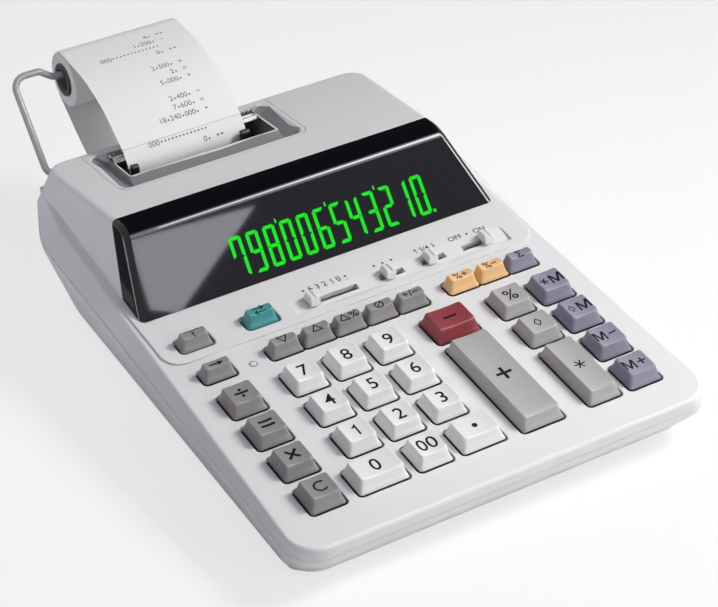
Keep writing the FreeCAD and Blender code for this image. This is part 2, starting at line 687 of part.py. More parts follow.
KEYS += [("subtotal", "broad", "key_home_x + total_column", BLOCK % 2),
         ("percent", "broad", "key_home_x + total_column", BLOCK % 3),
         ("total", "total", "key_home_x + total_column", BLOCK % 0),
         ("plus", "plus", "key_home_x + plus_column", BLOCK % 0),
         ("minus", "minus", "key_home_x + plus_column - minus_wider / 2", BLOCK % 3)]
for column, name in enumerate(("cost", "sell", "margin", "average", "sign")):
    KEYS.append((name, "small", "key_home_x + cost_column + %d * small_pitch" % column, "small_front"))
for column, name in enumerate(("tax_plus", "tax_minus", "grand_total")):
    KEYS.append((name, "small", "key_home_x + tax_column + %d * (small_across + tax_gap)" % column,
                 "small_front"))
KEYS += [("shift", "small", "key_home_x + function_column", "small_front"),
         ("paper_feed", "small", "key_home_x + feed_column", "panel_key_front"),
         ("exchange", "small", "key_home_x + exchange_column", "panel_key_front")]

# Slide knobs: name, rest place of the middle, travel to the left, travel to the right
KNOBS = (("decimal", -17, 0, 19.5), ("rate", 18.5, 2.4, 5.8), ("rounding", 38.5, 2.4, 5.8),
         ("power", 65.5, 9.7, 0))


def body_plane(body, role):
    """One of the origin planes of a body."""
    return [plane for plane in body.Origin.OriginFeatures if plane.Role == role][0]


def body_sketch(body, name, role, corners, offset="0"):
    """A rounded outline on an origin plane of a body, moved along its normal by offset."""
    sketch = body.newObject("Sketcher::SketchObject", name)
    sketch.AttachmentSupport = [(body_plane(body, role), "")]
    sketch.MapMode = "FlatFace"
    bind(sketch, AttachmentOffset__Base__z=offset)
    rounded(sketch, corners)
    return sketch


def body_block(body, kind, name, x, y, z, length, width, height):
    """An additive or subtractive box inside a body."""
    block = body.newObject("PartDesign::" + kind, name)
    bind(block, Length=length, Width=width, Height=height)
    place(block, x, y, z)
    return block


def key_form(name, across, deep):
    """A hollow key cap with a dished top and a square stem; its origin is its middle on the deck."""
    body = doc.addObject("PartDesign::Body", "form_" + name)
    half = "(%s) / 2" % across
    reach = "(%s) / 2" % deep
    foot = body_sketch(body, name + "_foot", "XY_Plane",
                       box_corners("-" + half, "-" + reach, half, reach, "key_round"))
    top = body_sketch(body, name + "_top", "XY_Plane",
                      box_corners("key_lean_side - " + half, "key_lean_front - " + reach,
                                  half + " - key_lean_side", reach + " - key_lean_back", "key_round"),
                      "key_rise")
    cap = body.newObject("PartDesign::AdditiveLoft", name + "_cap")
    cap.Profile = foot
    cap.Sections = [top]
    cap.Ruled = True
    skirt = body.newObject("PartDesign::Pad", name + "_skirt")
    skirt.Profile = foot
    skirt.Reversed = True
    bind(skirt, Length="key_skirt")
    dish = body.newObject("PartDesign::SubtractiveCylinder", name + "_dish")
    dish.Placement = Placement(Vector(), AXES["y"])
    chord = "((%s) / 2 - key_lean_side)" % across
    radius = "(%s ^ 2 / (2 * key_dish) + key_dish / 2)" % chord
    bind(dish, Radius=radius, Height=deep)
    place(dish, "0", "-" + reach, "key_rise - key_dish + " + radius)
    body_block(body, "SubtractiveBox", name + "_hollow", "key_wall - " + half, "key_wall - " + reach,
               "-key_skirt", "(%s) - 2 * key_wall" % across, "(%s) - 2 * key_wall" % deep,
               "key_skirt + key_hollow")
    body_block(body, "AdditiveBox", name + "_stem", "-key_stem / 2", "-key_stem / 2", "-key_stem_foot",
               "key_stem", "key_stem", "key_stem_foot + stem_top")
    return body


def opening_form(name, across, deep):
    """The hole in the deck for a key of one size, around the key's middle."""
    half = "(%s) / 2 + key_gap" % across
    reach = "(%s) / 2 + key_gap" % deep
    outline_sketch = plan(name + "_opening_plan", box_corners("-(%s)" % half, "-(%s)" % reach, half, reach,
                                                              "key_round + key_gap"), "-wall - over")
    return prism(name + "_opening", outline_sketch, "wall + island_rise + 2 * over")


def knob(name, middle):
    """A slide switch knob with a finger groove and a neck through its slot."""
    body = doc.addObject("PartDesign::Body", "body_knob_" + name)
    half = "knob_across / 2"
    reach = "knob_deep / 2"
    foot = body_sketch(body, name + "_knob_foot", "XY_Plane",
                       box_corners("-" + half, "-" + reach, half, reach, "knob_round"),
                       "island_rise + knob_gap")
    top = body_sketch(body, name + "_knob_top", "XY_Plane",
                      box_corners("knob_lean_side - " + half, "knob_lean_deep - " + reach,
                                  half + " - knob_lean_side", reach + " - knob_lean_deep", "knob_round"),
                      "knob_rise")
    head = body.newObject("PartDesign::AdditiveLoft", name + "_knob_head")
    head.Profile = foot
    head.Sections = [top]
    head.Ruled = True
    body_block(body, "SubtractiveBox", name + "_groove", "-groove_wide / 2", "-" + reach,
               "knob_rise - groove_deep", "groove_wide", "knob_deep", "groove_deep + over")
    body_block(body, "AdditiveBox", name + "_neck", "-neck_wide / 2", "-knob_neck / 2", "-wall - neck_below",
               "neck_wide", "knob_neck", "wall + neck_below + island_rise + knob_gap + over")
    finish(body, "knob_" + name, "%g" % middle, "switch_y")


key_forms = {}
opening_forms = {}
for size, (across, deep) in KEY_SIZES.items():
    key_forms[size] = key_form(size, across, deep)
    opening_forms[size] = opening_form(size, across, deep)
key_openings = []
for name, size, left, front in KEYS:
    across, deep = KEY_SIZES[size]
    middle = ("%s + (%s) / 2" % (left, across), "%s + (%s) / 2" % (front, deep))
    finish(group("cap_" + name, [key_forms[size]]), "key_" + name, *middle)
    key_openings.append(group("hole_" + name, [opening_forms[size]]))
    place(key_openings[-1], *middle)
for name, middle, leftward, rightward in KNOBS:
    knob(name, middle)

# Upper case

deck_sharp = loft("deck_sharp", [deck_outline("deck_top", "0"), rim_outline("deck_rim", "-rim_drop")])
doc.recompute()
deck_block = doc.addObject("Part::Fillet", "deck_block")
deck_block.Base = deck_sharp
deck_block.Edges = [(number, worth("deck_edge"), worth("deck_edge"))
                    for number, edge in enumerate(deck_sharp.Shape.Edges, start=1)
                    if all(abs(vertex.Z) < NEAR for vertex in edge.Vertexes)]
TAIL_HALF = "hump_half - hump_taper * (hump_rear - window_foot) - island_rise"
island = prism("island", plan("island_plan", [
    ("-island_half", "island_front", "island_round"), ("island_half", "island_front", "island_round"),
    ("island_half", "window_cheek", None), (TAIL_HALF, "hump_rear - island_short", None),
    ("-(%s)" % TAIL_HALF, "hump_rear - island_short", None), ("-island_half", "window_cheek", None)],
    "-wall"),
    "wall + island_rise")
deck_cavity = loft("deck_cavity", [deck_outline("cavity_top", "-wall", "wall"),
                                   rim_outline("cavity_foot", "-rim_drop - 2 * over", "wall")])
upper_skin = cut("upper_skin", fuse("upper_block", [deck_block, island, housing_outer]),
                 fuse("upper_cavity", [deck_cavity, housing_wall]))

openings = [window_zone("window_hole", "window_gap"), cover_zone("cover_hole", "cover_gap")]
for name, middle, leftward, rightward in KNOBS:
    openings.append(box(name + "_slot", "%g - slot_end - neck_wide / 2" % (middle - leftward),
                        "switch_y - slot_deep / 2", "-wall - over",
                        "%g + 2 * slot_end + neck_wide" % (leftward + rightward),
                        "slot_deep", "wall + island_rise + 2 * over"))
RECESS_FRONT = "switch_y - recess_reach"
RECESS_BACK = "switch_y + recess_reach"
openings.append(prism("switch_recess", side("switch_recess_side", [
    (RECESS_FRONT, "island_rise - recess_deep", None), (RECESS_BACK, "island_rise", None),
    (RECESS_BACK, "island_rise + over", None), (RECESS_FRONT, "island_rise + over", None)], "recess_left"),
    "recess_long"))

ledge = common("window_ledge", cut("ledge_skin", housing_rebate, housing_ledge),
               cut("ledge_ring", window_zone("ledge_outside", "window_rim"),
                   window_zone("ledge_inside", "-window_rim")))

front_posts = [("front_post_x", "front_post_y", "0"), ("-front_post_x", "front_post_y", "0")]
rear_posts = [("rear_post_x", "rear_post_y", ROOF % "rear_post_y"),
              ("-rear_post_x", "rear_post_y", ROOF % "rear_post_y")]
upper_posts = []
screws = []
lower_bores = []
upper_bores = []
lower_posts = []
for number, (x, y, roof) in enumerate(front_posts + rear_posts):
    upper_posts.append(rod("upper_post_%d" % number, "z", x, y, "-post_meet", "post_width / 2",
                           "post_meet + (%s) - wall / 2" % roof))
    upper_bores.append(rod("upper_bore_%d" % number, "z", x, y, "-post_meet - over",
                           "screw_shank / 2 + screw_clear", "screw_long"))
    lower_posts.append(rod("lower_post_%d" % number, "z", x, y, "-keel", "post_width / 2 + post_extra",
                           "keel - post_meet"))
    lower_bores.append(rod("seat_bore_%d" % number, "z", x, y, "-keel - over",
                           "screw_head / 2 + screw_clear", "keel + over - screw_seat"))
    lower_bores.append(rod("shank_bore_%d" % number, "z", x, y, "-keel - over",
                           "screw_shank / 2 + screw_clear", "keel"))
    screws.append(fuse("screw_%d" % number, [
        rod("screw_head_%d" % number, "z", x, y, "-screw_seat - head_tall", "screw_head / 2",
            "head_tall"),
        rod("screw_shank_%d" % number, "z", x, y, "-screw_seat - sink", "screw_shank / 2",
            "screw_long + sink")]))

upper_open = cut("upper_open", upper_skin, fuse("upper_openings", openings))
upper_joined = fuse("upper_joined", [upper_open, ledge] + upper_posts)
upper_case = cut("upper_case_solid", upper_joined, group("upper_bores", upper_bores + key_openings))
finish(upper_case, "upper_case")
finish(group("screw_set", screws), "case_screws")

# Window

window_skin = cut("window_skin", housing_outer, housing("window_back_side", "window_wall",
                                                        "-rim_drop - 2 * over"))
finish(common("window_solid", window_skin, window_zone("window_region", "0")), "display_window")

# Lower case

lower_outer = loft("lower_outer", [rim_outline("lower_rim", "-rim_drop"),
                                   rim_outline("lower_band", "-rim_drop - band"),
                                   keel_outline("lower_keel", "-keel")])
lower_inner = loft("lower_inner", [rim_outline("inner_rim", "over - rim_drop", "wall"),
                                   rim_outline("inner_band", "-rim_drop - band", "wall"),
                                   keel_outline("inner_keel", "-keel", "wall")])
lower_shell = cut("lower_shell", lower_outer,
                  cut("lower_cavity", lower_inner, below_level("floor_level", "foot_gap + wall")))

board_posts = []
for across in ("board_post_x", "-board_post_x"):
    for along in ("board_front + board_post_in", "board_back - board_post_in"):
        board_posts.append(rod("board_post_%d" % len(board_posts), "z", across, along, "-keel",
                               "board_post / 2", "keel + board_top - board_thick"))
frame_posts = []
for across in ("frame_left + frame_post_in", "frame_right - frame_post_in"):
    for along in ("frame_front + frame_post_end", "frame_back - frame_post_end"):
        frame_posts.append(rod("frame_post_%d" % len(frame_posts), "z", across, along, "-keel",
                               "frame_post / 2", "keel + frame_base"))
lugs = []
lug_bores = []
for number, across in enumerate(("arm_x + lug_in", "hinge_end - lug_end")):
    lugs.append(box("lug_root_%d" % number, across, "rim_tail_y - wall - over", "hinge_z - lug_low",
                    "lug_wide", "hinge_y + lug_back - rim_tail_y + wall + over",
                    "-rim_drop - sink - hinge_z + lug_low"))
    lugs.append(box("lug_ear_%d" % number, across, "rim_tail_y + lug_gap", "hinge_z - lug_low", "lug_wide",
                    "hinge_y + lug_back - rim_tail_y - lug_gap", "lug_tall"))
    lug_bores.append(rod("lug_bore_%d" % number, "x", across + " - over", "hinge_y", "hinge_z",
                         "wire / 2 + shaft_gap", "lug_wide + 2 * over"))
collar = rod("collar", "y", "inlet_x", "rim_tail_y - keel_rear - collar_in", "inlet_z", "inlet_collar / 2",
             "collar_long")
lower_joined = fuse("lower_joined", [lower_shell, collar] + lower_posts + board_posts + frame_posts + lugs)
lower_holes = lower_bores + lug_bores + [
    below_level("ground_level", "foot_gap"),
    rod("inlet_hole", "y", "inlet_x", "rim_tail_y - 3 * behind", "inlet_z", "inlet_bore / 2", "4 * behind"),
    box("paper_slot", "paper_left - slot_side", "rim_tail_y - behind", "slot_z - slot_tall / 2",
        "paper_wide + 2 * slot_side", "2 * behind", "slot_tall")]
finish(cut("lower_case_solid", lower_joined, fuse("lower_holes", lower_holes)), "lower_case")

# Feet

LOWER_RIM = 3
feet = []
for across, along in (("foot_x_front", "foot_y_front"), ("-foot_x_front", "foot_y_front"),
                      ("foot_x_rear", "foot_y_rear"), ("-foot_x_rear", "foot_y_rear")):
    foot = rod("foot_%d" % len(feet), "z", across, along, "0", "foot_across / 2", "foot_gap")
    soft_foot = doc.addObject("Part::Fillet", "soft_foot_%d" % len(feet))
    soft_foot.Base = foot
    soft_foot.Edges = [(LOWER_RIM, worth("foot_round"), worth("foot_round"))]
    feet.append(soft_foot)
finish_level(group("feet", feet), "rubber_feet")

# Printer cover


def roof_plan(name, corners, up):
    """An outline in a plane parallel to the roof; its y values are measured along the deck."""
    sketch = doc.addObject("Sketcher::SketchObject", name)
    sketch.Placement = Placement(Vector(), Rotation(Vector(1, 0, 0), -worth("roof_slope")))
    sketch.setExpression("Placement.Rotation.Angle", formula("-roof_slope * 1 deg"))
    place(sketch, "0", "crown + (%s) * sin(roof_slope)" % up,
          "%s + (%s) * cos(roof_slope)" % (ROOF % "crown", up))
    rounded(sketch, [(x, "((%s) - crown) / cos(roof_slope)" % y, radius) for x, y, radius in corners])
    return sketch


MOUTH = ("mouth_left", "mouth_front", "mouth_right", "mouth_back")


def around_mouth(margin, radius):
    """A rectangle around the paper mouth."""
    left, front, right, back = MOUTH
    return box_corners("%s - (%s)" % (left, margin), "%s - (%s)" % (front, margin),
                       "%s + (%s)" % (right, margin), "%s + (%s)" % (back, margin), radius)


cover_skin = cut("cover_skin", housing_outer, housing("cover_under", "cover_blank", "-rim_drop - 2 * over"))
cover_blank = common("cover_blank_solid", cover_skin, cover_zone("cover_region", "0"))
dish_top = roof_plan("dish_top", box_corners(
    "cover_left + dish_margin", "cover_front + dish_margin", "cover_right - dish_margin",
    "mouth_back + dish_behind", "dish_round"), "sink")
LIP_FOOT = "lip_wide + lip_lean"


def around_lip(margin, radius):
    """A rectangle around the foot of the lip, which is wider in front."""
    side_room = "%s + %s" % (LIP_FOOT, margin)
    left, front, right, back = MOUTH
    return box_corners("%s - (%s)" % (left, side_room), "%s - (%s) - lip_ramp" % (front, side_room),
                       "%s + %s" % (right, side_room), "%s + %s" % (back, side_room), radius)


dish_foot = roof_plan("dish_foot", around_lip("dish_slack", "dish_floor_round"), "-dish_drop")
dish = loft("dish", [dish_top, dish_foot])
lip = loft("lip", [roof_plan("lip_foot", around_lip("0", "lip_round"), "-dish_drop - lip_root"),
                   roof_plan("lip_edge", around_mouth("lip_wide", "lip_round"), "-lip_low")])
mouth = loft("mouth", [
    roof_plan("mouth_top", around_mouth("0", "mouth_round"), "0"),
    roof_plan("mouth_foot", box_corners("mouth_left", "mouth_front", "mouth_right - mouth_slant", "mouth_back",
                                        "mouth_round"), "-cover_blank - over")])
cover_dished = cut("cover_dished", cover_blank, dish)
finish(cut("cover_solid", fuse("cover_lipped", [cover_dished, lip]), mouth), "printer_cover")

# Tear bar: a clear strip on the rear of the lip, with a toothed blade that the tape bends over

LIP_TOP = ROOF + " - lip_low / cos(roof_slope) + bar_lift"
BAR_LOW = LIP_TOP % "bar_foot_y"
BAR_TOP_Y = "bar_foot_y + bar_tall * cos(bar_slope)"
BAR_TOP_Z = "%s + bar_tall * sin(bar_slope)" % BAR_LOW
BAR_BACK = "mouth_back + bar_rest"
bar_blank = prism("bar_blank", side("bar_side", [
    ("bar_foot_y", BAR_LOW, None), (BAR_TOP_Y, BAR_TOP_Z, None), (BAR_TOP_Y + " + bar_edge", BAR_TOP_Z, None),
    ("bar_foot_y + bar_thick * (1 + cos(bar_slope)) / sin(bar_slope)", BAR_LOW + " + bar_thick", None),
    (BAR_BACK, LIP_TOP % BAR_BACK + " + bar_thick", None), (BAR_BACK, LIP_TOP % BAR_BACK, None)],
    "mouth_left - bar_past"), "bar_right - mouth_left + bar_past")


def zigzag(left, right, front, top, pitch, deep):
    """The outline, seen from the front, of what is cut from the blade's edge to leave its teeth."""
    count = int((right - left) / pitch)
    points = [Vector(left - pitch, front, top + pitch)]
    for number in range(count):
        start = left + number * pitch
        points.append(Vector(start, front, top))
        points.append(Vector(start + pitch / 2, front, top - deep))
    points.append(Vector(left + count * pitch, front, top))
    points.append(Vector(right + pitch, front, top + pitch))
    points.append(points[0])
    return points


teeth = doc.addObject("Part::Feature", "bar_teeth")
teeth.Shape = Part.Face(Part.makePolygon(zigzag(
    worth("mouth_left"), worth("bar_right"), worth("bar_foot_y"), worth(BAR_TOP_Z + " + sink"),
    worth("tooth_pitch"), worth("tooth_deep")))).extrude(Vector(0, worth("mouth_back - bar_foot_y"), 0))
finish(cut("tear_bar_solid", bar_blank, teeth), "tear_bar")

# Paper: ribbons of even thickness along paths of straight runs and arcs in the plane of y and z


def rounded_run(points, radii):
    """Edges through points, with arcs at the inner points."""
    edges = []
    last = points[0]
    for index in range(1, len(points) - 1):
        back = (points[index - 1] - points[index]).normalize()
        ahead = (points[index + 1] - points[index]).normalize()
        half = back.getAngle(ahead) / 2
        reach = radii[index] / math.tan(half)
        middle = (back + ahead).normalize()
        apex = points[index] + middle * (radii[index] / math.sin(half) - radii[index])
        begin = points[index] + back * reach
        end = points[index] + ahead * reach
        edges.append(Part.makeLine(last, begin))
        edges.append(Part.Arc(begin, apex, end).toShape())
        last = end
    edges.append(Part.makeLine(last, points[-1]))
    return edges


def ribbon(name, path):
    """Paper along a path of (y, z, radius), as wide as the roll."""
    points = [Vector(0, y, z) for y, z, radius in path]
    half = worth("paper_thick") / 2
    sides = []
    for sign in (1, -1):
        moved = []
        radii = []
        for index, point in enumerate(points):
            before = points[index] - points[index - 1] if index else points[1] - points[0]
            after = points[index + 1] - points[index] if index < len(points) - 1 else before
            normals = [Vector(0, -step.z, step.y).normalize() for step in (before, after)]
            mitre = (normals[0] + normals[1]) * (1 / (1 + normals[0].dot(normals[1])))
            turn = before.cross(after).x
            moved.append(point + mitre * (sign * half))
            radii.append(path[index][2] - (sign if turn > 0 else -sign) * half)
        sides.append((moved, radii))
    (upper, upper_radii), (lower, lower_radii) = sides
    edges = rounded_run(upper, upper_radii) + [Part.makeLine(upper[-1], lower[-1])]
    edges += rounded_run(lower, lower_radii) + [Part.makeLine(lower[0], upper[0])]
    face = Part.Face(Part.Wire(Part.__sortEdges__(edges)))
    sheet_of_paper = doc.addObject("Part::Feature", name)
    face.translate(Vector(worth("paper_left"), 0, 0))
    sheet_of_paper.Shape = face.extrude(Vector(worth("paper_wide"), 0, 0))
    return sheet_of_paper


def touch_line(point, centre, radius, turn):
    """Unit direction from a point along the tangent that passes a circle on the given side."""
    toward = math.atan2(centre[1] - point[1], centre[0] - point[0])
    lean = math.asin(radius / math.hypot(centre[0] - point[0], centre[1] - point[1]))
    return math.cos(toward + turn * lean), math.sin(toward + turn * lean)


def meet(first, first_way, second, second_way):
    """Where two lines given by a point and a direction cross."""
    cross = first_way[0] * second_way[1] - first_way[1] * second_way[0]
    gap = (second[0] - first[0], second[1] - first[1])
    along = (gap[0] * second_way[1] - gap[1] * second_way[0]) / cross
    return first[0] + along * first_way[0], first[1] + along * first_way[1]


roll_centre = (worth("spindle_y"), worth("spindle_z - core_bore + wire / 2 + wire_gap"))
roll_lap = worth("roll_radius + wire_gap + paper_thick / 2")
platen_lap = worth("platen_radius + wire_gap + paper_thick / 2")
platen_centre = (worth("platen_y"), worth("platen_z"))
slot_point = (worth("slot_y"), worth("slot_z"))
tape_off = worth("tape_gap + paper_thick / 2")
blade = (math.cos(math.radians(worth("bar_slope"))), math.sin(math.radians(worth("bar_slope"))))
bar_foot = (worth("bar_foot_y") - tape_off * blade[1], worth(BAR_LOW) + tape_off * blade[0])
exit_reach = worth("exit_low") / blade[1]
exit_point = (bar_foot[0] - exit_reach * blade[0], bar_foot[1] - exit_reach * blade[1])
under_way = touch_line(slot_point, platen_centre, platen_lap, 1)
rise_way = touch_line(exit_point, platen_centre, platen_lap, -1)
platen_turn = meet(slot_point, under_way, exit_point, rise_way)
fold_point = (bar_foot[0] + worth("bar_tall") * blade[0], bar_foot[1] + worth("bar_tall") * blade[1])
sag_point = (exit_point[0] + worth("sag_y"), exit_point[1] + worth("sag_z"))
crest_point = (worth("hinge_y + crest_y"), worth("spindle_z + crest_z"))
over_way = touch_line(crest_point, roll_centre, roll_lap, 1)
wrap = math.radians(worth("wrap"))
wrap_end = (roll_centre[0] + roll_lap * math.sin(wrap), roll_centre[1] + roll_lap * math.cos(wrap))
wrap_way = (math.cos(wrap), -math.sin(wrap))
roll_turn = meet(crest_point, over_way, wrap_end, wrap_way)
tail = worth("wrap_tail")
tape_end = (wrap_end[0] + tail * wrap_way[0], wrap_end[1] + tail * wrap_way[1])
tape = ribbon("tape_ribbon", [
    slot_point + (0,), platen_turn + (platen_lap,), exit_point + (worth("exit_round"),),
    fold_point + (worth("fold_round"),), sag_point + (worth("sag_round"),),
    crest_point + (worth("crest_round"),), roll_turn + (roll_lap,), tape_end + (0,)])
finish(tape, "printed_tape")

back_way = touch_line(slot_point, roll_centre, roll_lap, -1)
reach = math.sqrt((roll_centre[0] - slot_point[0]) ** 2 + (roll_centre[1] - slot_point[1]) ** 2
                  - roll_lap ** 2)
gap = worth("strip_gap")
strip_start = (slot_point[0] + gap * back_way[0], slot_point[1] + gap * back_way[1])
strip_end = (slot_point[0] + reach * back_way[0], slot_point[1] + reach * back_way[1])
finish(ribbon("strip_ribbon", [strip_start + (0,), strip_end + (0,)]), "paper_strip")

# Paper roll, core and holder

ROLL_Z = "spindle_z - core_bore + wire / 2 + wire_gap"
finish(cut("roll_tube", rod("roll_outside", "x", "paper_left", "spindle_y", ROLL_Z, "roll_radius",
                            "paper_wide"),
           rod("roll_inside", "x", "paper_left - over", "spindle_y", ROLL_Z, "core_radius + core_gap",
               "paper_wide + 2 * over")), "paper_roll")
finish(cut("core_tube", rod("core_outside", "x", "paper_left - core_out", "spindle_y", ROLL_Z,
                            "core_radius", "paper_wide + 2 * core_out"),
           rod("core_inside", "x", "paper_left - core_out - over", "spindle_y", ROLL_Z, "core_bore",
               "paper_wide + 2 * core_out + 2 * over")), "roll_core")

holder_path = [Vector(worth(x), worth(y), worth(z)) for x, y, z in (
    ("hinge_end", "hinge_y", "hinge_z"), ("arm_x", "hinge_y", "hinge_z"),
    ("arm_x", "spindle_y", "arm_top"), ("paper_left - crank_out", "spindle_y", "arm_top"),
    ("paper_left - crank_in", "spindle_y", "spindle_z"), ("spindle_end", "spindle_y", "spindle_z"))]
bends = [0] + [worth(bend) for bend in ("arm_round", "top_round", "crank_round", "crank_round")] + [0]
spine = Part.Wire(rounded_run(holder_path, bends))
section = Part.Wire(Part.makeCircle(worth("wire / 2"), holder_path[0], Vector(1, 0, 0)))
holder = doc.addObject("Part::Feature", "holder_wire")
holder.Shape = spine.makePipeShell([section], True, True)
finish(holder, "paper_holder")

# Display tube, circuit board and key sheet

TUBE_DEEP = "(window_wall + tube_gap + tube_deep)"
tube = doc.addObject("Part::Box", "tube_glass")
tube.Placement = Placement(Vector(), Rotation(Vector(1, 0, 0), worth("window_slope")))
tube.setExpression("Placement.Rotation.Angle", formula("window_slope * 1 deg"))
bind(tube, Length="tube_long", Width="tube_tall", Height="tube_deep")
place(tube, "tube_left", "window_foot + tube_up * cos(window_slope) + %s * sin(window_slope)" % TUBE_DEEP,
      "tube_up * sin(window_slope) - %s * cos(window_slope)" % TUBE_DEEP)
finish(group("tube_set", [tube]), "display_tube")

board = box("board", "-board_half", "board_front", "board_top - board_thick", "2 * board_half",
            "board_back - board_front", "board_thick")
# Packages under the board: name, left side, front, length, width and height
PACKAGES = (("logic_package", -25, -12, 34, 16, 3.2), ("driver_package", 22, -10, 18, 12, 2.6))
packages = [box(name, left, front, "board_top - board_thick - %g" % tall, length, width, "%g + sink" % tall)
            for name, left, front, length, width, tall in PACKAGES]
finish(fuse("board_set", [board] + packages), "main_board")

guides = []
guide_holes = []
guide_form = doc.addObject("Part::Cone", "guide_form")
bind(guide_form, Radius1="guide_across / 2", Radius2="guide_tip / 2", Height="guide_top - pad_top + sink")
guide_hole = box("guide_hole", "-key_stem / 2 - stem_gap", "-key_stem / 2 - stem_gap",
                 "pad_top - pad_thick - over", "key_stem + 2 * stem_gap", "key_stem + 2 * stem_gap",
                 "guide_top - pad_top + pad_thick + 2 * over")
for name, size, left, front in KEYS:
    across, deep = KEY_SIZES[size]
    middle = ("%s + (%s) / 2" % (left, across), "%s + (%s) / 2" % (front, deep))
    guides.append(group("guide_" + name, [guide_form]))
    place(guides[-1], middle[0], middle[1], "pad_top - sink")
    guide_holes.append(group("guide_hole_" + name, [guide_hole]))
    place(guide_holes[-1], middle[0], middle[1], "0")
pad = box("pad", "-board_half + pad_in", "board_front + pad_in", "pad_top - pad_thick",
          "2 * (board_half - pad_in)", "board_back - board_front - 2 * pad_in", "pad_thick")
finish(cut("pad_solid", fuse("pad_guides", [pad] + guides), group("pad_holes", guide_holes)), "key_pad")

# Printer


def gear(name, teeth, phase, x, y, z):
    """A spur gear disc with trapezoid teeth around an axis along x."""
    module = 2 * worth("platen_y - wheel_y") / worth("platen_teeth + wheel_teeth")
    root = module * teeth / 2 - 1.15 * module
    tip = module * teeth / 2 + 0.75 * module
    root_share = 0.27
    tip_share = 0.12
    rim = []
    for number in range(teeth):
        for share, radius in ((-root_share, root), (-tip_share, tip), (tip_share, tip), (root_share, root)):
            angle = (number + share + phase) * 2 * math.pi / teeth
            rim.append(Vector(0, radius * math.cos(angle), radius * math.sin(angle)))
    rim.append(rim[0])
    disc = doc.addObject("Part::Feature", name)
    disc.Shape = Part.Face(Part.makePolygon(rim)).extrude(Vector(worth("gear_wide"), 0, 0))
    place(disc, x, y, z)
    return disc


SHAFT_LEFT = "frame_left - frame_plate / 2 - shaft_past"
GEAR_X = "frame_right + frame_plate / 2 + gear_gap"
PLATE_TOP = "%s - cover_blank / cos(roof_slope) - plate_gap" % (ROOF % "frame_back")
plates = [box(name, "%s - frame_plate / 2" % middle, "frame_front", "frame_base", "frame_plate",
              "frame_back - frame_front", "%s - frame_base" % PLATE_TOP)
          for name, middle in (("left_plate", "frame_left"), ("right_plate", "frame_right"))]
plates.append(box("base_plate", "frame_left", "frame_front", "frame_base", "frame_right - frame_left",
                  "frame_back - frame_front", "frame_plate"))
shaft_bores = [rod(name, "x", "frame_left - behind", y, "platen_z", "shaft_radius + shaft_gap",
                   "frame_right - frame_left + 2 * behind")
               for name, y in (("platen_bore", "platen_y"), ("wheel_bore", "wheel_y"))]
shaft_bores.append(rod("motor_bore", "x", "frame_left - behind", "motor_y", "motor_z",
                       "shaft_radius + shaft_gap", "2 * behind"))
finish(cut("frame_solid", fuse("frame_plates", plates), fuse("frame_bores", shaft_bores)), "printer_frame")

platen = [rod("platen_rubber", "x", "paper_left - platen_past", "platen_y", "platen_z", "platen_radius",
              "paper_wide + 2 * platen_past"),
          rod("platen_shaft", "x", SHAFT_LEFT, "platen_y", "platen_z", "shaft_radius",
              "%s + gear_wide - (%s)" % (GEAR_X, SHAFT_LEFT)),
          gear("platen_gear", int(worth("platen_teeth")), 0.5, GEAR_X, "platen_y", "platen_z")]
finish(fuse("platen_solid", platen), "platen_roller")

wheels = [rod("wheel_barrel", "x", "paper_left + barrel_in", "wheel_y", "platen_z",
              "wheel_radius - barrel_drop", "paper_wide - 2 * barrel_in"),
          rod("wheel_shaft", "x", SHAFT_LEFT, "wheel_y", "platen_z", "shaft_radius",
              "%s + gear_wide - (%s)" % (GEAR_X, SHAFT_LEFT)),
          gear("wheel_gear", int(worth("wheel_teeth")), 0, GEAR_X, "wheel_y", "platen_z")]
for number in range(int(worth("wheel_count"))):
    wheels.append(rod("type_wheel_%d" % number, "x", "paper_left + wheel_first + %d * wheel_pitch" % number,
                      "wheel_y", "platen_z", "wheel_radius", "wheel_wide"))
finish(fuse("wheel_solid", wheels), "print_wheel")

motor = [rod("motor_can", "x", "motor_end", "motor_y", "motor_z", "motor_radius",
             "frame_left - frame_plate / 2 - motor_end"),
         rod("motor_shaft", "x", "frame_left - frame_plate / 2 - sink", "motor_y", "motor_z",
             "motor_shaft / 2", "motor_shaft_long")]
finish(fuse("motor_solid", motor), "printer_motor")

# Transformer, standing level on the floor of the case

transformer = [
    box("iron_core", "core_x", "core_y", "foot_gap + wall", "core_wide", "core_deep", "core_tall"),
    box("winding", "core_x + winding_in", "core_y - winding_in", "foot_gap + wall + winding_up",
        "core_wide - 2 * winding_in", "core_deep + 2 * winding_in", "core_tall - 2 * winding_up"),
    box("core_tabs", "core_x - tab_out", "core_y + tab_in", "foot_gap + wall", "core_wide + 2 * tab_out",
        "core_deep - 2 * tab_in", "tab_thick")]
finish_level(fuse("transformer_solid", transformer), "transformer")

# Checks and files

doc.recompute()
for item in doc.Objects:
    if "Invalid" in item.State or "Error" in item.State:
        raise RuntimeError("%s failed: %s" % (item.Name, item.State))
for piece in finished:
    if piece.Shape.isNull() or not piece.Shape.isValid():
        raise RuntimeError("%s has no valid shape" % piece.Label)
for piece in finished:
    piece.Shape.exportStep(os.path.join("parts", piece.Label + ".step"))
    print(piece.Label, len(piece.Shape.Solids), round(piece.Shape.Volume))
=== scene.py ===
"""Looks of a desk printing calculator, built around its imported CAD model.

Pieces are drawn in millimetres in the deck frame: x to the right from the centre line, y to the back
along the keyboard deck and z square to the deck.  The deck's matrix then places them in the world.
"""
from __future__ import annotations

import logging
import math
from dataclasses import dataclass
from enum import Enum
from typing import Callable, Dict, Iterable, List, Optional, Sequence, Tuple

import bmesh
import bpy
from mathutils import Matrix, Vector

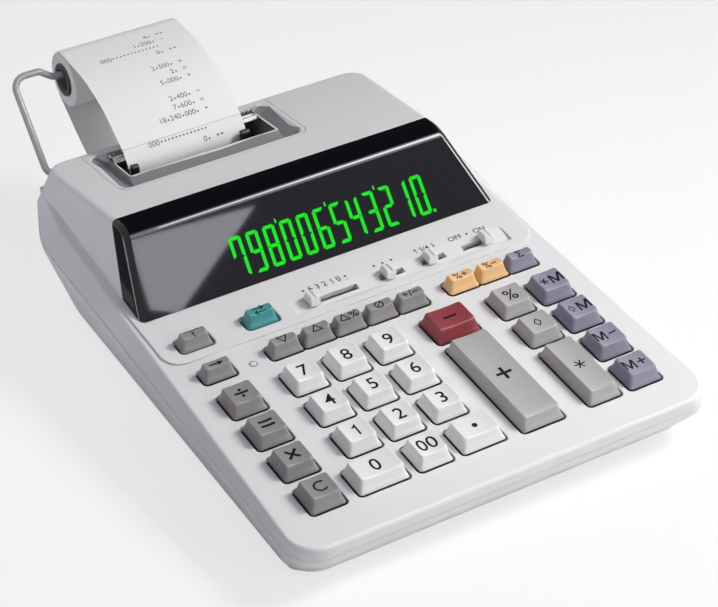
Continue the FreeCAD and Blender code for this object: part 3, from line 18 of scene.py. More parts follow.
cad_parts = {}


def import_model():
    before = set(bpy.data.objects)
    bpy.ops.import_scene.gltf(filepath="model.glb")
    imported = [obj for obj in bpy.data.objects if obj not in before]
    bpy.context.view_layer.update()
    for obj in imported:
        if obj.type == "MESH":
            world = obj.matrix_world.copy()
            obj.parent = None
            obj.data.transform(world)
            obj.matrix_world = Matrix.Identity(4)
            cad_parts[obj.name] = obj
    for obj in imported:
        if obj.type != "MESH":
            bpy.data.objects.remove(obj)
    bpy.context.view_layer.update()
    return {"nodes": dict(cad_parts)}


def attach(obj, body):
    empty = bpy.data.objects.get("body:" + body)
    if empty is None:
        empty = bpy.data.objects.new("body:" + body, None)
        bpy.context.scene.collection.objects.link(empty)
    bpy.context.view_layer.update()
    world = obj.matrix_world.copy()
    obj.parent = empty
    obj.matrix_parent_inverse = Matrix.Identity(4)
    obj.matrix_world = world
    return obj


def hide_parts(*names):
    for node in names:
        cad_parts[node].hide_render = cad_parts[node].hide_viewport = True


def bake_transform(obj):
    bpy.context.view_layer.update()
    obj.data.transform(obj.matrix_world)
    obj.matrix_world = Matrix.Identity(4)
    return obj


LOG = logging.getLogger("calculator")
MM = 0.001
IMAGE_WIDTH = 718
SENSOR = 36.0

Pair = Tuple[float, float]
Triple = Tuple[float, float, float]
Surface = Callable[[float, float], float]


# Frames


@dataclass(frozen=True)
class DeckFrame:
    """The tilted frame of the keyboard deck."""

    tilt: float = 6.0
    rise: float = 28.9
    shift: float = -71.5

    def turn(self) -> Matrix:
        """The deck's tilt."""
        return Matrix.Rotation(math.radians(self.tilt), 4, "X")

    def matrix(self) -> Matrix:
        """From deck millimetres to world metres."""
        return Matrix.Scale(MM, 4) @ Matrix.Translation((0, self.shift, self.rise)) @ self.turn()

    def point(self, x: float, y: float, z: float) -> Vector:
        """A deck point in the world, in metres."""
        return self.matrix() @ Vector((x, y, z))


@dataclass(frozen=True)
class WindowPlane:
    """The sloping front of the display window, in the deck frame."""

    foot: float = 64.7
    slope: float = 35.8

    def matrix(self) -> Matrix:
        """From window millimetres (across, up the slope, out) to deck millimetres."""
        return Matrix.Translation((0, self.foot, 0)) @ Matrix.Rotation(math.radians(self.slope), 4, "X")


@dataclass(frozen=True)
class Span:
    """The box of a CAD node in the deck frame."""

    low: Vector
    high: Vector

    @classmethod
    def of(cls, node: bpy.types.Object) -> "Span":
        """Measure a node."""
        back = DECK.matrix().inverted() @ node.matrix_world
        spots = [back @ vertex.co for vertex in node.data.vertices]
        return cls(Vector([min(spot[axis] for spot in spots) for axis in range(3)]),
                   Vector([max(spot[axis] for spot in spots) for axis in range(3)]))


DECK = DeckFrame()
WINDOW = WindowPlane()
ROOF_START = 97.27
ROOF_SLOPE = 11.1
ROOF_HEIGHT = (ROOF_START - WINDOW.foot) * math.tan(math.radians(WINDOW.slope))
ROOF_FALL = math.tan(math.radians(ROOF_SLOPE))


def roof(y: float) -> float:
    """Height of the printer housing's roof above the deck."""
    return ROOF_HEIGHT - (y - ROOF_START) * ROOF_FALL


# Meshes


def linked(name: str, data: bpy.types.ID) -> bpy.types.Object:
    """A new object in the scene for a mesh, curve, camera or lamp."""
    item = bpy.data.objects.new(name, data)
    bpy.context.scene.collection.objects.link(item)
    return item


def soften(piece: bpy.types.Object, width: float, segments: int) -> None:
    """Round a piece's crisp edges over so many millimetres."""
    bevel = piece.modifiers.new("soft", "BEVEL")
    bevel.width = width * MM
    bevel.segments = segments
    bevel.limit_method = "ANGLE"


class Solid:
    """Gathers closed shells in millimetres and turns them into one Blender object."""

    def __init__(self) -> None:
        """Start empty."""
        self.mesh = bmesh.new()

    def rings(self, rings: Sequence[Sequence[Triple]], slot: int = 0) -> None:
        """Skin closed rings of equal count and close both ends.

        Args:
            rings: the rings, each a list of points in the same order.
            slot: the material slot of the faces.
        """
        rows = [[self.mesh.verts.new(point) for point in ring] for ring in rings]
        count = len(rows[0])
        for lower, upper in zip(rows, rows[1:]):
            for index in range(count):
                after = (index + 1) % count
                face = self.mesh.faces.new((lower[index], lower[after], upper[after], upper[index]))
                face.material_index = slot
        for ring in (rows[0][::-1], rows[-1]):
            self.mesh.faces.new(ring).material_index = slot

    def prism(self, outline: Sequence[Triple], way: Triple, slot: int = 0) -> None:
        """Sweep a flat outline along a vector."""
        step = Vector(way)
        self.rings([outline, [tuple(Vector(point) + step) for point in outline]], slot)

    def box(self, low: Triple, high: Triple, slot: int = 0) -> None:
        """A block between two corners."""
        outline = [(low[0], low[1], low[2]), (high[0], low[1], low[2]), (high[0], high[1], low[2]),
                   (low[0], high[1], low[2])]
        self.prism(outline, (0, 0, high[2] - low[2]), slot)

    def lathe(self, profile: Sequence[Pair], centre: Triple, turns: int = 48, slot: int = 0) -> None:
        """Turn a closed profile of (radius, height) about an axis through centre along z."""
        spin = [2 * math.pi * index / turns for index in range(turns)]
        loops = [[(centre[0] + radius * math.cos(angle), centre[1] + radius * math.sin(angle),
                   centre[2] + height) for radius, height in profile] for angle in spin]
        rows = [[self.mesh.verts.new(point) for point in loop] for loop in loops]
        count = len(profile)
        for index in range(turns):
            ahead = rows[(index + 1) % turns]
            for place in range(count):
                corner = (place + 1) % count
                face = self.mesh.faces.new((rows[index][place], ahead[place], ahead[corner],
                                            rows[index][corner]))
                face.material_index = slot

    def take(self, other: bmesh.types.BMesh, matrix: Optional[Matrix] = None, slot: int = 0) -> None:
        """Add another mesh's faces.

        Args:
            other: the mesh to add; it is freed.
            matrix: where it goes.
            slot: the material slot of its faces.
        """
        if matrix is not None:
            other.transform(matrix)
        twins = {vertex: self.mesh.verts.new(vertex.co) for vertex in other.verts}
        for face in other.faces:
            try:
                self.mesh.faces.new([twins[vertex] for vertex in face.verts]).material_index = slot
            except ValueError:
                continue
        other.free()

    def make(self, name: str, materials: Sequence[bpy.types.Material], matrix: Optional[Matrix] = None,
             sharp: float = 35.0, merge: float = 1e-4) -> bpy.types.Object:
        """Turn the shells into an object whose place is in its mesh.

        Args:
            name: the piece's name.
            materials: its material slots.
            matrix: from drawing millimetres to the world; the deck's matrix if left out.
            sharp: edges steeper than this many degrees stay crisp.
            merge: corners nearer than this are joined.

        Returns:
            The new object, linked to the scene.
        """
        if merge:
            bmesh.ops.remove_doubles(self.mesh, verts=self.mesh.verts[:], dist=merge)
        bmesh.ops.recalc_face_normals(self.mesh, faces=self.mesh.faces[:])
        mesh = bpy.data.meshes.new(name)
        self.mesh.to_mesh(mesh)
        self.mesh.free()
        mesh.transform(matrix or DECK.matrix())
        mesh.shade_smooth()
        mesh.set_sharp_from_angle(angle=math.radians(sharp))
        for material in materials:
            mesh.materials.append(material)
        return linked(name, mesh)


def rounded_ring(left: float, front: float, right: float, back: float, radius: float,
                 across: int = 8, along: int = 4, arc: int = 4) -> List[Pair]:
    """The points of a rounded rectangle, counter-clockwise.

    Args:
        left: its left side.
        front: its front side.
        right: its right side.
        back: its rear side.
        radius: the corner radius.
        across: how many runs the front and rear sides have.
        along: how many runs the left and right sides have.
        arc: how many runs each corner has.

    Returns:
        The points, always as many for the same counts.
    """
    corners = ((right - radius, front + radius, -90, across, (left + radius, front), (right - radius, front)),
               (right - radius, back - radius, 0, along, (right, front + radius), (right, back - radius)),
               (left + radius, back - radius, 90, across, (right - radius, back), (left + radius, back)),
               (left + radius, front + radius, 180, along, (left, back - radius), (left, front + radius)))
    ring: List[Pair] = []
    for x, y, start, runs, begin, end in corners:
        for step in range(runs):
            share = step / runs
            ring.append((begin[0] + (end[0] - begin[0]) * share, begin[1] + (end[1] - begin[1]) * share))
        for step in range(arc):
            angle = math.radians(start + 90 * step / arc)
            ring.append((x + radius * math.cos(angle), y + radius * math.sin(angle)))
    return ring


def rounded_path(points: Sequence[Triple], step: float = 6.0) -> List[Pair]:
    """A line through points, with arcs at its inner points.

    Args:
        points: (y, z, radius) of each corner.
        step: the angle between samples on an arc, in degrees.

    Returns:
        Samples along the path.
    """
    spots = [Vector(point[:2]) for point in points]
    path: List[Pair] = [tuple(spots[0])]
    for index in range(1, len(points) - 1):
        back = (spots[index - 1] - spots[index]).normalized()
        ahead = (spots[index + 1] - spots[index]).normalized()
        half = back.angle(ahead) / 2
        radius = points[index][2]
        middle = (back + ahead).normalized()
        centre = spots[index] + middle * (radius / math.sin(half))
        begin = spots[index] + back * (radius / math.tan(half)) - centre
        sweep = begin.angle_signed(spots[index] + ahead * (radius / math.tan(half)) - centre)
        runs = max(2, int(abs(math.degrees(sweep)) / step) + 1)
        for run in range(runs + 1):
            turned = Matrix.Rotation(-sweep * run / runs, 2) @ begin
            path.append(tuple(centre + turned))
    path.append(tuple(spots[-1]))
    return path


class Track:
    """A path in the plane of y and z, measured along its length."""

    def __init__(self, path: Sequence[Pair]) -> None:
        """Measure the path."""
        self.spots = [Vector(spot) for spot in path]
        self.marks = [0.0]
        for before, after in zip(self.spots, self.spots[1:]):
            self.marks.append(self.marks[-1] + (after - before).length)

    @property
    def length(self) -> float:
        """The whole length."""
        return self.marks[-1]

    def at(self, mark: float, lift: float = 0.0) -> Pair:
        """The point at a length along the path, moved out by lift to the left of its direction."""
        index = 0
        while index < len(self.marks) - 2 and self.marks[index + 1] < mark:
            index += 1
        start, end = self.spots[index], self.spots[index + 1]
        way = (end - start).normalized()
        spot = start + way * (mark - self.marks[index]) + Vector((-way.y, way.x)) * lift
        return spot.x, spot.y


# Shaders


class ShaderKit:
    """Builds the shader groups once and wires nodes."""

    def __init__(self) -> None:
        """Build the shared groups."""
        self.skin = self._skin()
        self.fibre = self._fibre()

    @staticmethod
    def node(tree: bpy.types.NodeTree, kind: str, **values: object) -> bpy.types.Node:
        """Add a node; values name its settings, or its inputs when they start with in_.

        Args:
            tree: the tree that gets the node.
            kind: the node's type.
            **values: settings, or inputs by name with underscores for spaces.

        Returns:
            The node.
        """
        node = tree.nodes.new(kind)
        for name, value in values.items():
            if name.startswith("in_"):
                ShaderKit.fill(node, **{name.removeprefix("in_"): value})
            else:
                setattr(node, name, value)
        return node

    @staticmethod
    def fill(node: bpy.types.Node, **values: object) -> None:
        """Set a node's inputs, by name with underscores for spaces."""
        for name, value in values.items():
            node.inputs[name.replace("_", " ")].default_value = value

    @staticmethod
    def group(name: str, inputs: Iterable[Tuple[str, str, object]], outputs: Iterable[Tuple[str, str]]
              ) -> Tuple[bpy.types.NodeTree, bpy.types.Node, bpy.types.Node]:
        """Start a shader group with named sockets."""
        tree = bpy.data.node_groups.new(name, "ShaderNodeTree")
        for label, kind, value in inputs:
            tree.interface.new_socket(label, in_out="INPUT", socket_type=kind).default_value = value
        for label, kind in outputs:
            tree.interface.new_socket(label, in_out="OUTPUT", socket_type=kind)
        return tree, tree.nodes.new("NodeGroupInput"), tree.nodes.new("NodeGroupOutput")

    def _skin(self) -> bpy.types.NodeTree:
        """Moulded plastic: fine spark texture, slow shade changes and handling marks in the gloss."""
        tree, given, result = self.group(
            "moulded_skin",
            (("Colour", "NodeSocketColor", (0.8, 0.8, 0.8, 1)), ("Grain", "NodeSocketFloat", 2500.0),
             ("Mottle", "NodeSocketFloat", 0.04), ("Roughness", "NodeSocketFloat", 0.5),
             ("Smear", "NodeSocketFloat", 0.1)),
            (("Colour", "NodeSocketColor"), ("Roughness", "NodeSocketFloat"), ("Height", "NodeSocketFloat")))
        place = tree.nodes.new("ShaderNodeTexCoord")
        grain = self.node(tree, "ShaderNodeTexNoise", in_Detail=3.0, in_Roughness=0.6)
        slow = self.node(tree, "ShaderNodeTexNoise", in_Scale=38.0, in_Detail=4.0)
        smear = self.node(tree, "ShaderNodeTexNoise", in_Scale=120.0, in_Detail=6.0, in_Distortion=0.8)
        for noise in (grain, slow, smear):
            tree.links.new(place.outputs["Object"], noise.inputs["Vector"])
        tree.links.new(given.outputs["Grain"], grain.inputs["Scale"])
        self._tint(tree, given, result, slow, "Mottle")
        rough = self.node(tree, "ShaderNodeMath", operation="MULTIPLY_ADD", use_clamp=True)
        tree.links.new(self._centred(tree, smear), rough.inputs[0])
        tree.links.new(given.outputs["Smear"], rough.inputs[1])
        tree.links.new(given.outputs["Roughness"], rough.inputs[2])
        tree.links.new(rough.outputs[0], result.inputs["Roughness"])
        tree.links.new(grain.outputs["Fac"], result.inputs["Height"])
        return tree

    def _fibre(self) -> bpy.types.NodeTree:
        """Paper: matted fibres with small tone changes."""
        tree, given, result = self.group(
            "paper_fibre",
            (("Colour", "NodeSocketColor", (0.9, 0.9, 0.9, 1)), ("Scale", "NodeSocketFloat", 1800.0),
             ("Tone", "NodeSocketFloat", 0.03)),
            (("Colour", "NodeSocketColor"), ("Height", "NodeSocketFloat")))
        place = tree.nodes.new("ShaderNodeTexCoord")
        fibres = self.node(tree, "ShaderNodeTexNoise", in_Detail=5.0, in_Roughness=0.7, in_Distortion=2.0)
        tree.links.new(place.outputs["Object"], fibres.inputs["Vector"])
        tree.links.new(given.outputs["Scale"], fibres.inputs["Scale"])
        self._tint(tree, given, result, fibres, "Tone")
        tree.links.new(fibres.outputs["Fac"], result.inputs["Height"])
        return tree

    def _centred(self, tree: bpy.types.NodeTree, noise: bpy.types.Node) -> bpy.types.NodeSocket:
        """A noise moved so that it swings about zero."""
        centred = self.node(tree, "ShaderNodeMath", operation="SUBTRACT")
        centred.inputs[1].default_value = 0.5
        tree.links.new(noise.outputs["Fac"], centred.inputs[0])
        return centred.outputs[0]

    def _tint(self, tree: bpy.types.NodeTree, given: bpy.types.Node, result: bpy.types.Node,
              noise: bpy.types.Node, amount: str) -> None:
        """Let a noise shade a group's colour.

        Args:
            tree: the group's tree.
            given: its input node.
            result: its output node.
            noise: the texture that shades.
            amount: the name of the input that says how much.
        """
        shade = self.node(tree, "ShaderNodeMath", operation="MULTIPLY_ADD")
        shade.inputs[2].default_value = 1.0
        tree.links.new(self._centred(tree, noise), shade.inputs[0])
        tree.links.new(given.outputs[amount], shade.inputs[1])
        tint = tree.nodes.new("ShaderNodeHueSaturation")
        tree.links.new(given.outputs["Colour"], tint.inputs["Color"])
        tree.links.new(shade.outputs[0], tint.inputs["Value"])
        tree.links.new(tint.outputs["Color"], result.inputs["Colour"])

    def coat(self, tree: bpy.types.NodeTree, shader: bpy.types.Node, group: bpy.types.Node,
             strength: float, depth: float) -> bpy.types.Node:
        """Give a shader the colour and relief of a group.

        Args:
            tree: the material's tree.
            shader: its Principled shader.
            group: the group node with a colour and a height.
            strength: how much of the relief shows.
            depth: its depth, in metres.

        Returns:
            The bump node.
        """
        tree.links.new(group.outputs["Colour"], shader.inputs["Base Color"])
        bump = self.node(tree, "ShaderNodeBump", in_Strength=strength, in_Distance=depth)
        tree.links.new(group.outputs["Height"], bump.inputs["Height"])
        tree.links.new(bump.outputs["Normal"], shader.inputs["Normal"])
        return bump

    @staticmethod
    def blank(name: str) -> Tuple[bpy.types.Material, bpy.types.NodeTree, bpy.types.Node]:
        """A new material, its tree and its Principled shader."""
        material = bpy.data.materials.new(name)
        material.use_nodes = True
        tree = material.node_tree
        return material, tree, tree.nodes["Principled BSDF"]


@dataclass(frozen=True)
class Moulding:
    """A moulded plastic, rubber or paint finish."""

    name: str
    colour: Triple
    roughness: float = 0.5
    grain: float = 2500.0
    depth: float = 0.00003
    strength: float = 0.25
    mottle: float = 0.04
    smear: float = 0.1
    specular: float = 0.5
    soften: float = 0.0
    metallic: float = 0.0

    def make(self, kit: ShaderKit) -> bpy.types.Material:
        """Build the material."""
        material, tree, shader = kit.blank(self.name)
        group = kit.node(tree, "ShaderNodeGroup", node_tree=kit.skin, in_Colour=(*self.colour, 1),
                         in_Grain=self.grain, in_Mottle=self.mottle, in_Roughness=self.roughness,
                         in_Smear=self.smear)
        bump = kit.coat(tree, shader, group, self.strength, self.depth)
        tree.links.new(group.outputs["Roughness"], shader.inputs["Roughness"])
        if self.soften:
            soft = kit.node(tree, "ShaderNodeBevel", samples=6, in_Radius=self.soften)
            tree.links.new(soft.outputs["Normal"], bump.inputs["Normal"])
        kit.fill(shader, Specular_IOR_Level=self.specular, Metallic=self.metallic)
        return material


@dataclass(frozen=True)
class Paper:
    """Uncoated paper."""

    name: str
    colour: Triple
    scale: float = 1800.0
    depth: float = 0.00002
    strength: float = 0.3
    roughness: float = 0.85
    specular: float = 0.2

    def make(self, kit: ShaderKit) -> bpy.types.Material:
        """Build the material."""
        material, tree, shader = kit.blank(self.name)
        group = kit.node(tree, "ShaderNodeGroup", node_tree=kit.fibre, in_Colour=(*self.colour, 1),
                         in_Scale=self.scale)
        kit.coat(tree, shader, group, self.strength, self.depth)
        kit.fill(shader, Roughness=self.roughness, Specular_IOR_Level=self.specular)
        return material


@dataclass(frozen=True)
class ClearPlastic:
    """Clear moulded plastic or glass."""

    name: str
    colour: Triple = (0.97, 0.98, 0.98)
    roughness: float = 0.06
    grain: float = 900.0
    smear: float = 0.06
    index: float = 1.49

    def make(self, kit: ShaderKit) -> bpy.types.Material:
        """Build the material."""
        material, tree, shader = kit.blank(self.name)
        group = kit.node(tree, "ShaderNodeGroup", node_tree=kit.skin, in_Colour=(*self.colour, 1),
                         in_Grain=self.grain, in_Roughness=self.roughness, in_Smear=self.smear)
        tree.links.new(group.outputs["Colour"], shader.inputs["Base Color"])
        tree.links.new(group.outputs["Roughness"], shader.inputs["Roughness"])
        kit.fill(shader, Transmission_Weight=1.0, IOR=self.index)
        return material


@dataclass(frozen=True)
class Glow:
    """A lit segment of the display."""

    name: str
    colour: Triple
    strength: float = 1.0
    grain: float = 4000.0
    mottle: float = 0.12

    def make(self, kit: ShaderKit) -> bpy.types.Material:
        """Build the material."""
        material, tree, shader = kit.blank(self.name)
        group = kit.node(tree, "ShaderNodeGroup", node_tree=kit.skin, in_Colour=(*self.colour, 1),
                         in_Grain=self.grain, in_Mottle=self.mottle)
        tree.links.new(group.outputs["Colour"], shader.inputs["Emission Color"])
        kit.fill(shader, Emission_Strength=self.strength, Base_Color=(0.0, 0.0, 0.0, 1),
                 Specular_IOR_Level=0.0)
        return material


class Finish(Enum):
    """The finishes of the calculator."""

    CASE = Moulding("case_plastic", (0.74, 0.735, 0.745), 0.5, soften=0.0009, mottle=0.03)
    DIGIT_KEY = Moulding("digit_key_plastic", (0.80, 0.80, 0.79), 0.38, depth=0.000015)
    GREY_KEY = Moulding("grey_key_plastic", (0.27, 0.255, 0.262), 0.40, mottle=0.08)
    LIGHT_KEY = Moulding("light_grey_key_plastic", (0.42, 0.405, 0.41), 0.40, mottle=0.06)
    BLUE_KEY = Moulding("blue_grey_key_plastic", (0.26, 0.25, 0.33), 0.40, mottle=0.08)
    RED_KEY = Moulding("red_key_plastic", (0.27, 0.035, 0.045), 0.38, mottle=0.1)
    TEAL_KEY = Moulding("teal_key_plastic", (0.05, 0.30, 0.32), 0.38, mottle=0.1)
    ORANGE_KEY = Moulding("orange_key_plastic", (0.86, 0.52, 0.24), 0.40, mottle=0.06)
    KNOB = Moulding("knob_plastic", (0.80, 0.80, 0.79), 0.35)
    WINDOW = Moulding("window_smoke", (0.004, 0.004, 0.006), 0.04, grain=300, depth=0.000002, strength=0.05,
                      mottle=0.2, smear=0.03, specular=0.3)
    TEAR_BAR = ClearPlastic("tear_bar_clear")
    TUBE = ClearPlastic("tube_glass", (0.85, 0.9, 0.88), 0.02)
    WIRE = Moulding("wire_enamel", (0.42, 0.41, 0.42), 0.3, grain=1200, mottle=0.06)
    PAPER = Paper("paper_web", (0.93, 0.95, 0.925))
    CORE = Moulding("core_plastic", (0.03, 0.022, 0.024), 0.45)
    RUBBER = Moulding("rubber_black", (0.02, 0.02, 0.02), 0.8, grain=1500, depth=0.00008)
    # real black printer parts, and also painted shade in the gaps round the keys and on the walls of the
    # paper mouth
    PRINTER_BLACK_AND_SHADE = Moulding("printer_black_and_shade", (0.016, 0.016, 0.018), 0.4)
    PLATEN = Moulding("platen_rubber", (0.025, 0.025, 0.026), 0.7, grain=3000, depth=0.00006)
    WHEEL = Moulding("type_wheel_plastic", (0.05, 0.05, 0.055), 0.45)
    STEEL = Moulding("zinc_steel", (0.55, 0.55, 0.56), 0.35, grain=5000, metallic=1.0, smear=0.2)
    IRON = Moulding("core_iron", (0.10, 0.10, 0.11), 0.5, grain=2200, metallic=0.6, mottle=0.3)
    BOARD = Moulding("board_lacquer", (0.02, 0.12, 0.04), 0.3, grain=1500, mottle=0.3)
    PAD = Moulding("silicone", (0.45, 0.45, 0.46), 0.6)
    INK = Moulding("key_ink", (0.009, 0.008, 0.012), 0.7, grain=6000, mottle=0.3, specular=0.1)
    # printed panel marks, and also painted shade in the ring round the dimple's dome
    PANEL_INK_AND_SHADE = Moulding("panel_ink_and_shade", (0.03, 0.03, 0.035), 0.7, grain=6000, mottle=0.3, specular=0.1)
    RIBBON_INK = Moulding("ribbon_ink", (0.10, 0.095, 0.11), 0.9, grain=9000, mottle=0.9)
    # painted shadow: the grey line along the fold of the tape
    CREASE = Moulding("crease_painted_shadow", (0.42, 0.42, 0.42), 0.8, grain=4000, mottle=0.2)
    # painted shade: a darker grey that the printer cover's dish gets in place of the shade of its recess
    BAY_SHADE = Moulding("bay_painted_shade", (0.25, 0.24, 0.255), 0.22, soften=0.0004, mottle=0.05)
    SEGMENT = Glow("segment_green", (0.012, 0.86, 0.02))


class Palette:
    """Makes each finish's material once."""

    def __init__(self) -> None:
        """Start with the shader groups."""
        self.kit = ShaderKit()
        self.made: Dict[Finish, bpy.types.Material] = {}

    def get(self, finish: Finish) -> bpy.types.Material:
        """The material of a finish."""
        if finish not in self.made:
            self.made[finish] = finish.value.make(self.kit)
        return self.made[finish]

    def dress(self, node: bpy.types.Object, finish: Finish) -> None:
        """Give a CAD node a finish."""
        node.data.materials.clear()
        node.data.materials.append(self.get(finish))


# Lettering


class Inscriber:
    """Cuts digits and signs as thin solids that follow a surface."""

    ONE: Tuple[Pair, ...] = ((0.25, 0), (0.335, 0), (0.335, 0.69), (0.27, 0.69), (0.24, 0.62), (0.18, 0.575),
                             (0.10, 0.555), (0.10, 0.49), (0.25, 0.49))
    BOLD = 0.007
    THICK = 0.04
    CURVE_STEPS = 4
    MERGE = 1e-5
    BEND_PITCH = 0.7

    def flat(self, text: str, size: float, thick: float = THICK, bold: float = 0.0) -> bmesh.types.BMesh:
        """Text as a flat solid centred on the origin.

        Args:
            text: the characters.
            size: the font size, in millimetres.
            thick: its thickness.
            bold: how far its strokes widen on each side.

        Returns:
            The mesh, in millimetres.
        """
        curve = bpy.data.curves.new("sign", "FONT")
        curve.body = text
        curve.size = size
        curve.extrude = thick / 2
        curve.resolution_u = self.CURVE_STEPS
        curve.offset = bold
        sign = linked("sign", curve)
        bpy.context.view_layer.update()
        mesh = bpy.data.meshes.new_from_object(sign.evaluated_get(bpy.context.evaluated_depsgraph_get()))
        result = bmesh.new()
        result.from_mesh(mesh)
        bpy.data.objects.remove(sign)
        bpy.data.curves.remove(curve)
        bpy.data.meshes.remove(mesh)
        bmesh.ops.remove_doubles(result, verts=result.verts[:], dist=self.MERGE)
        return self.centred(result)

    @staticmethod
    def centred(mesh: bmesh.types.BMesh) -> bmesh.types.BMesh:
        """Move a mesh so that its outline is centred on the origin."""
        low = Vector((min(vertex.co[axis] for vertex in mesh.verts) for axis in range(3)))
        high = Vector((max(vertex.co[axis] for vertex in mesh.verts) for axis in range(3)))
        bmesh.ops.translate(mesh, verts=mesh.verts[:], vec=-(low + high) / 2)
        return mesh

    def shapes(self, outlines: Sequence[Sequence[Pair]], size: float) -> bmesh.types.BMesh:
        """Flat outlines, in units of size, as solids centred on the origin."""
        solid = Solid()
        for outline in outlines:
            solid.prism([(x * size, y * size, -self.THICK / 2) for x, y in outline], (0, 0, self.THICK))
        return self.centred(solid.mesh)

    def sign(self, text: str, size: float) -> bmesh.types.BMesh:
        """Bold text, with a flagged figure one when it is that alone."""
        if text == "1":
            return self.shapes([self.ONE], size)
        return self.flat(text, size, bold=self.BOLD * size)

    @staticmethod
    def sliced(mesh: bmesh.types.BMesh, axis: int, pitch: float) -> bmesh.types.BMesh:
        """Cut a mesh across an axis so that it can bend."""
        low = min(vertex.co[axis] for vertex in mesh.verts)
        high = max(vertex.co[axis] for vertex in mesh.verts)
        normal = Vector((0, 0, 0))
        normal[axis] = 1
        count = int((high - low) / pitch)
        for index in range(1, count + 1):
            spot = Vector((0, 0, 0))
            spot[axis] = low + index * pitch
            everything = mesh.verts[:] + mesh.edges[:] + mesh.faces[:]
            bmesh.ops.bisect_plane(mesh, geom=everything, plane_co=spot, plane_no=normal)
        return mesh

    def draped(self, mesh: bmesh.types.BMesh, x: float, y: float, surface: Surface) -> bmesh.types.BMesh:
        """Lay a flat sign at x, y on a surface given as height over the plane."""
        self.sliced(mesh, 0, self.BEND_PITCH)
        for vertex in mesh.verts:
            vertex.co.x += x
            vertex.co.y += y
            vertex.co.z += surface(vertex.co.x, vertex.co.y)
        return mesh


class BarRow:
    """A Geometry Nodes tree that sets equal bars along a line."""

    def __init__(self) -> None:
        """Build the tree."""
        tree = bpy.data.node_groups.new("bar_row", "GeometryNodeTree")
        self.tree = tree
        self.sockets: Dict[str, str] = {}
        for label, kind in (("Count", "NodeSocketInt"), ("Start", "NodeSocketVector"),
                            ("Step", "NodeSocketVector"), ("Size", "NodeSocketVector"),
                            ("Turn", "NodeSocketVector"), ("Finish", "NodeSocketMaterial")):
            socket = tree.interface.new_socket(label, in_out="INPUT", socket_type=kind)
            self.sockets[label] = socket.identifier
        tree.interface.new_socket("Geometry", in_out="OUTPUT", socket_type="NodeSocketGeometry")
        given = tree.nodes.new("NodeGroupInput")
        result = tree.nodes.new("NodeGroupOutput")
        line = tree.nodes.new("GeometryNodeMeshLine")
        line.mode = "OFFSET"
        bar = tree.nodes.new("GeometryNodeMeshCube")
        spread = tree.nodes.new("GeometryNodeInstanceOnPoints")
        real = tree.nodes.new("GeometryNodeRealizeInstances")
        paint = tree.nodes.new("GeometryNodeSetMaterial")
        for source, target in ((given.outputs["Count"], line.inputs["Count"]),
                               (given.outputs["Start"], line.inputs["Start Location"]),
                               (given.outputs["Step"], line.inputs["Offset"]),
                               (given.outputs["Size"], bar.inputs["Size"]),
                               (line.outputs["Mesh"], spread.inputs["Points"]),
                               (bar.outputs["Mesh"], spread.inputs["Instance"]),
                               (given.outputs["Turn"], spread.inputs["Rotation"]),
                               (spread.outputs["Instances"], real.inputs["Geometry"]),
                               (real.outputs["Geometry"], paint.inputs["Geometry"]),
                               (given.outputs["Finish"], paint.inputs["Material"]),
                               (paint.outputs["Geometry"], result.inputs["Geometry"])):
            tree.links.new(source, target)

    def make(self, name: str, material: bpy.types.Material, count: int, start: Triple, step: Triple,
             size: Triple, turn: Triple = (0, 0, 0)) -> bpy.types.Object:
        """Set bars along a line as a plain mesh.

        Args:
            name: the piece's name.
            material: its finish.
            count: how many bars.
            start: the middle of the first, in deck millimetres.
            step: from one to the next.
            size: of each bar.
            turn: its rotation, in radians.

        Returns:
            The piece, with its place in its mesh.
        """
        seed = linked(name + "_seed", bpy.data.meshes.new(name + "_seed"))
        modifier = seed.modifiers.new("row", "NODES")
        modifier.node_group = self.tree
        for label, value in (("Count", count), ("Start", start), ("Step", step), ("Size", size),
                             ("Turn", turn), ("Finish", material)):
            modifier[self.sockets[label]] = value
        bpy.context.view_layer.update()
        mesh = bpy.data.meshes.new_from_object(seed.evaluated_get(bpy.context.evaluated_depsgraph_get()))
        bpy.data.objects.remove(seed)
        mesh.name = name
        mesh.transform(DECK.matrix())
        if not mesh.materials:
            mesh.materials.append(material)
        return linked(name, mesh)


# Keys


@dataclass(frozen=True)
class KeyLook:
    """The finish, material slot and sign of a key."""

    name: str
    finish: Finish
    slot: str
    sign: str
    letter: float


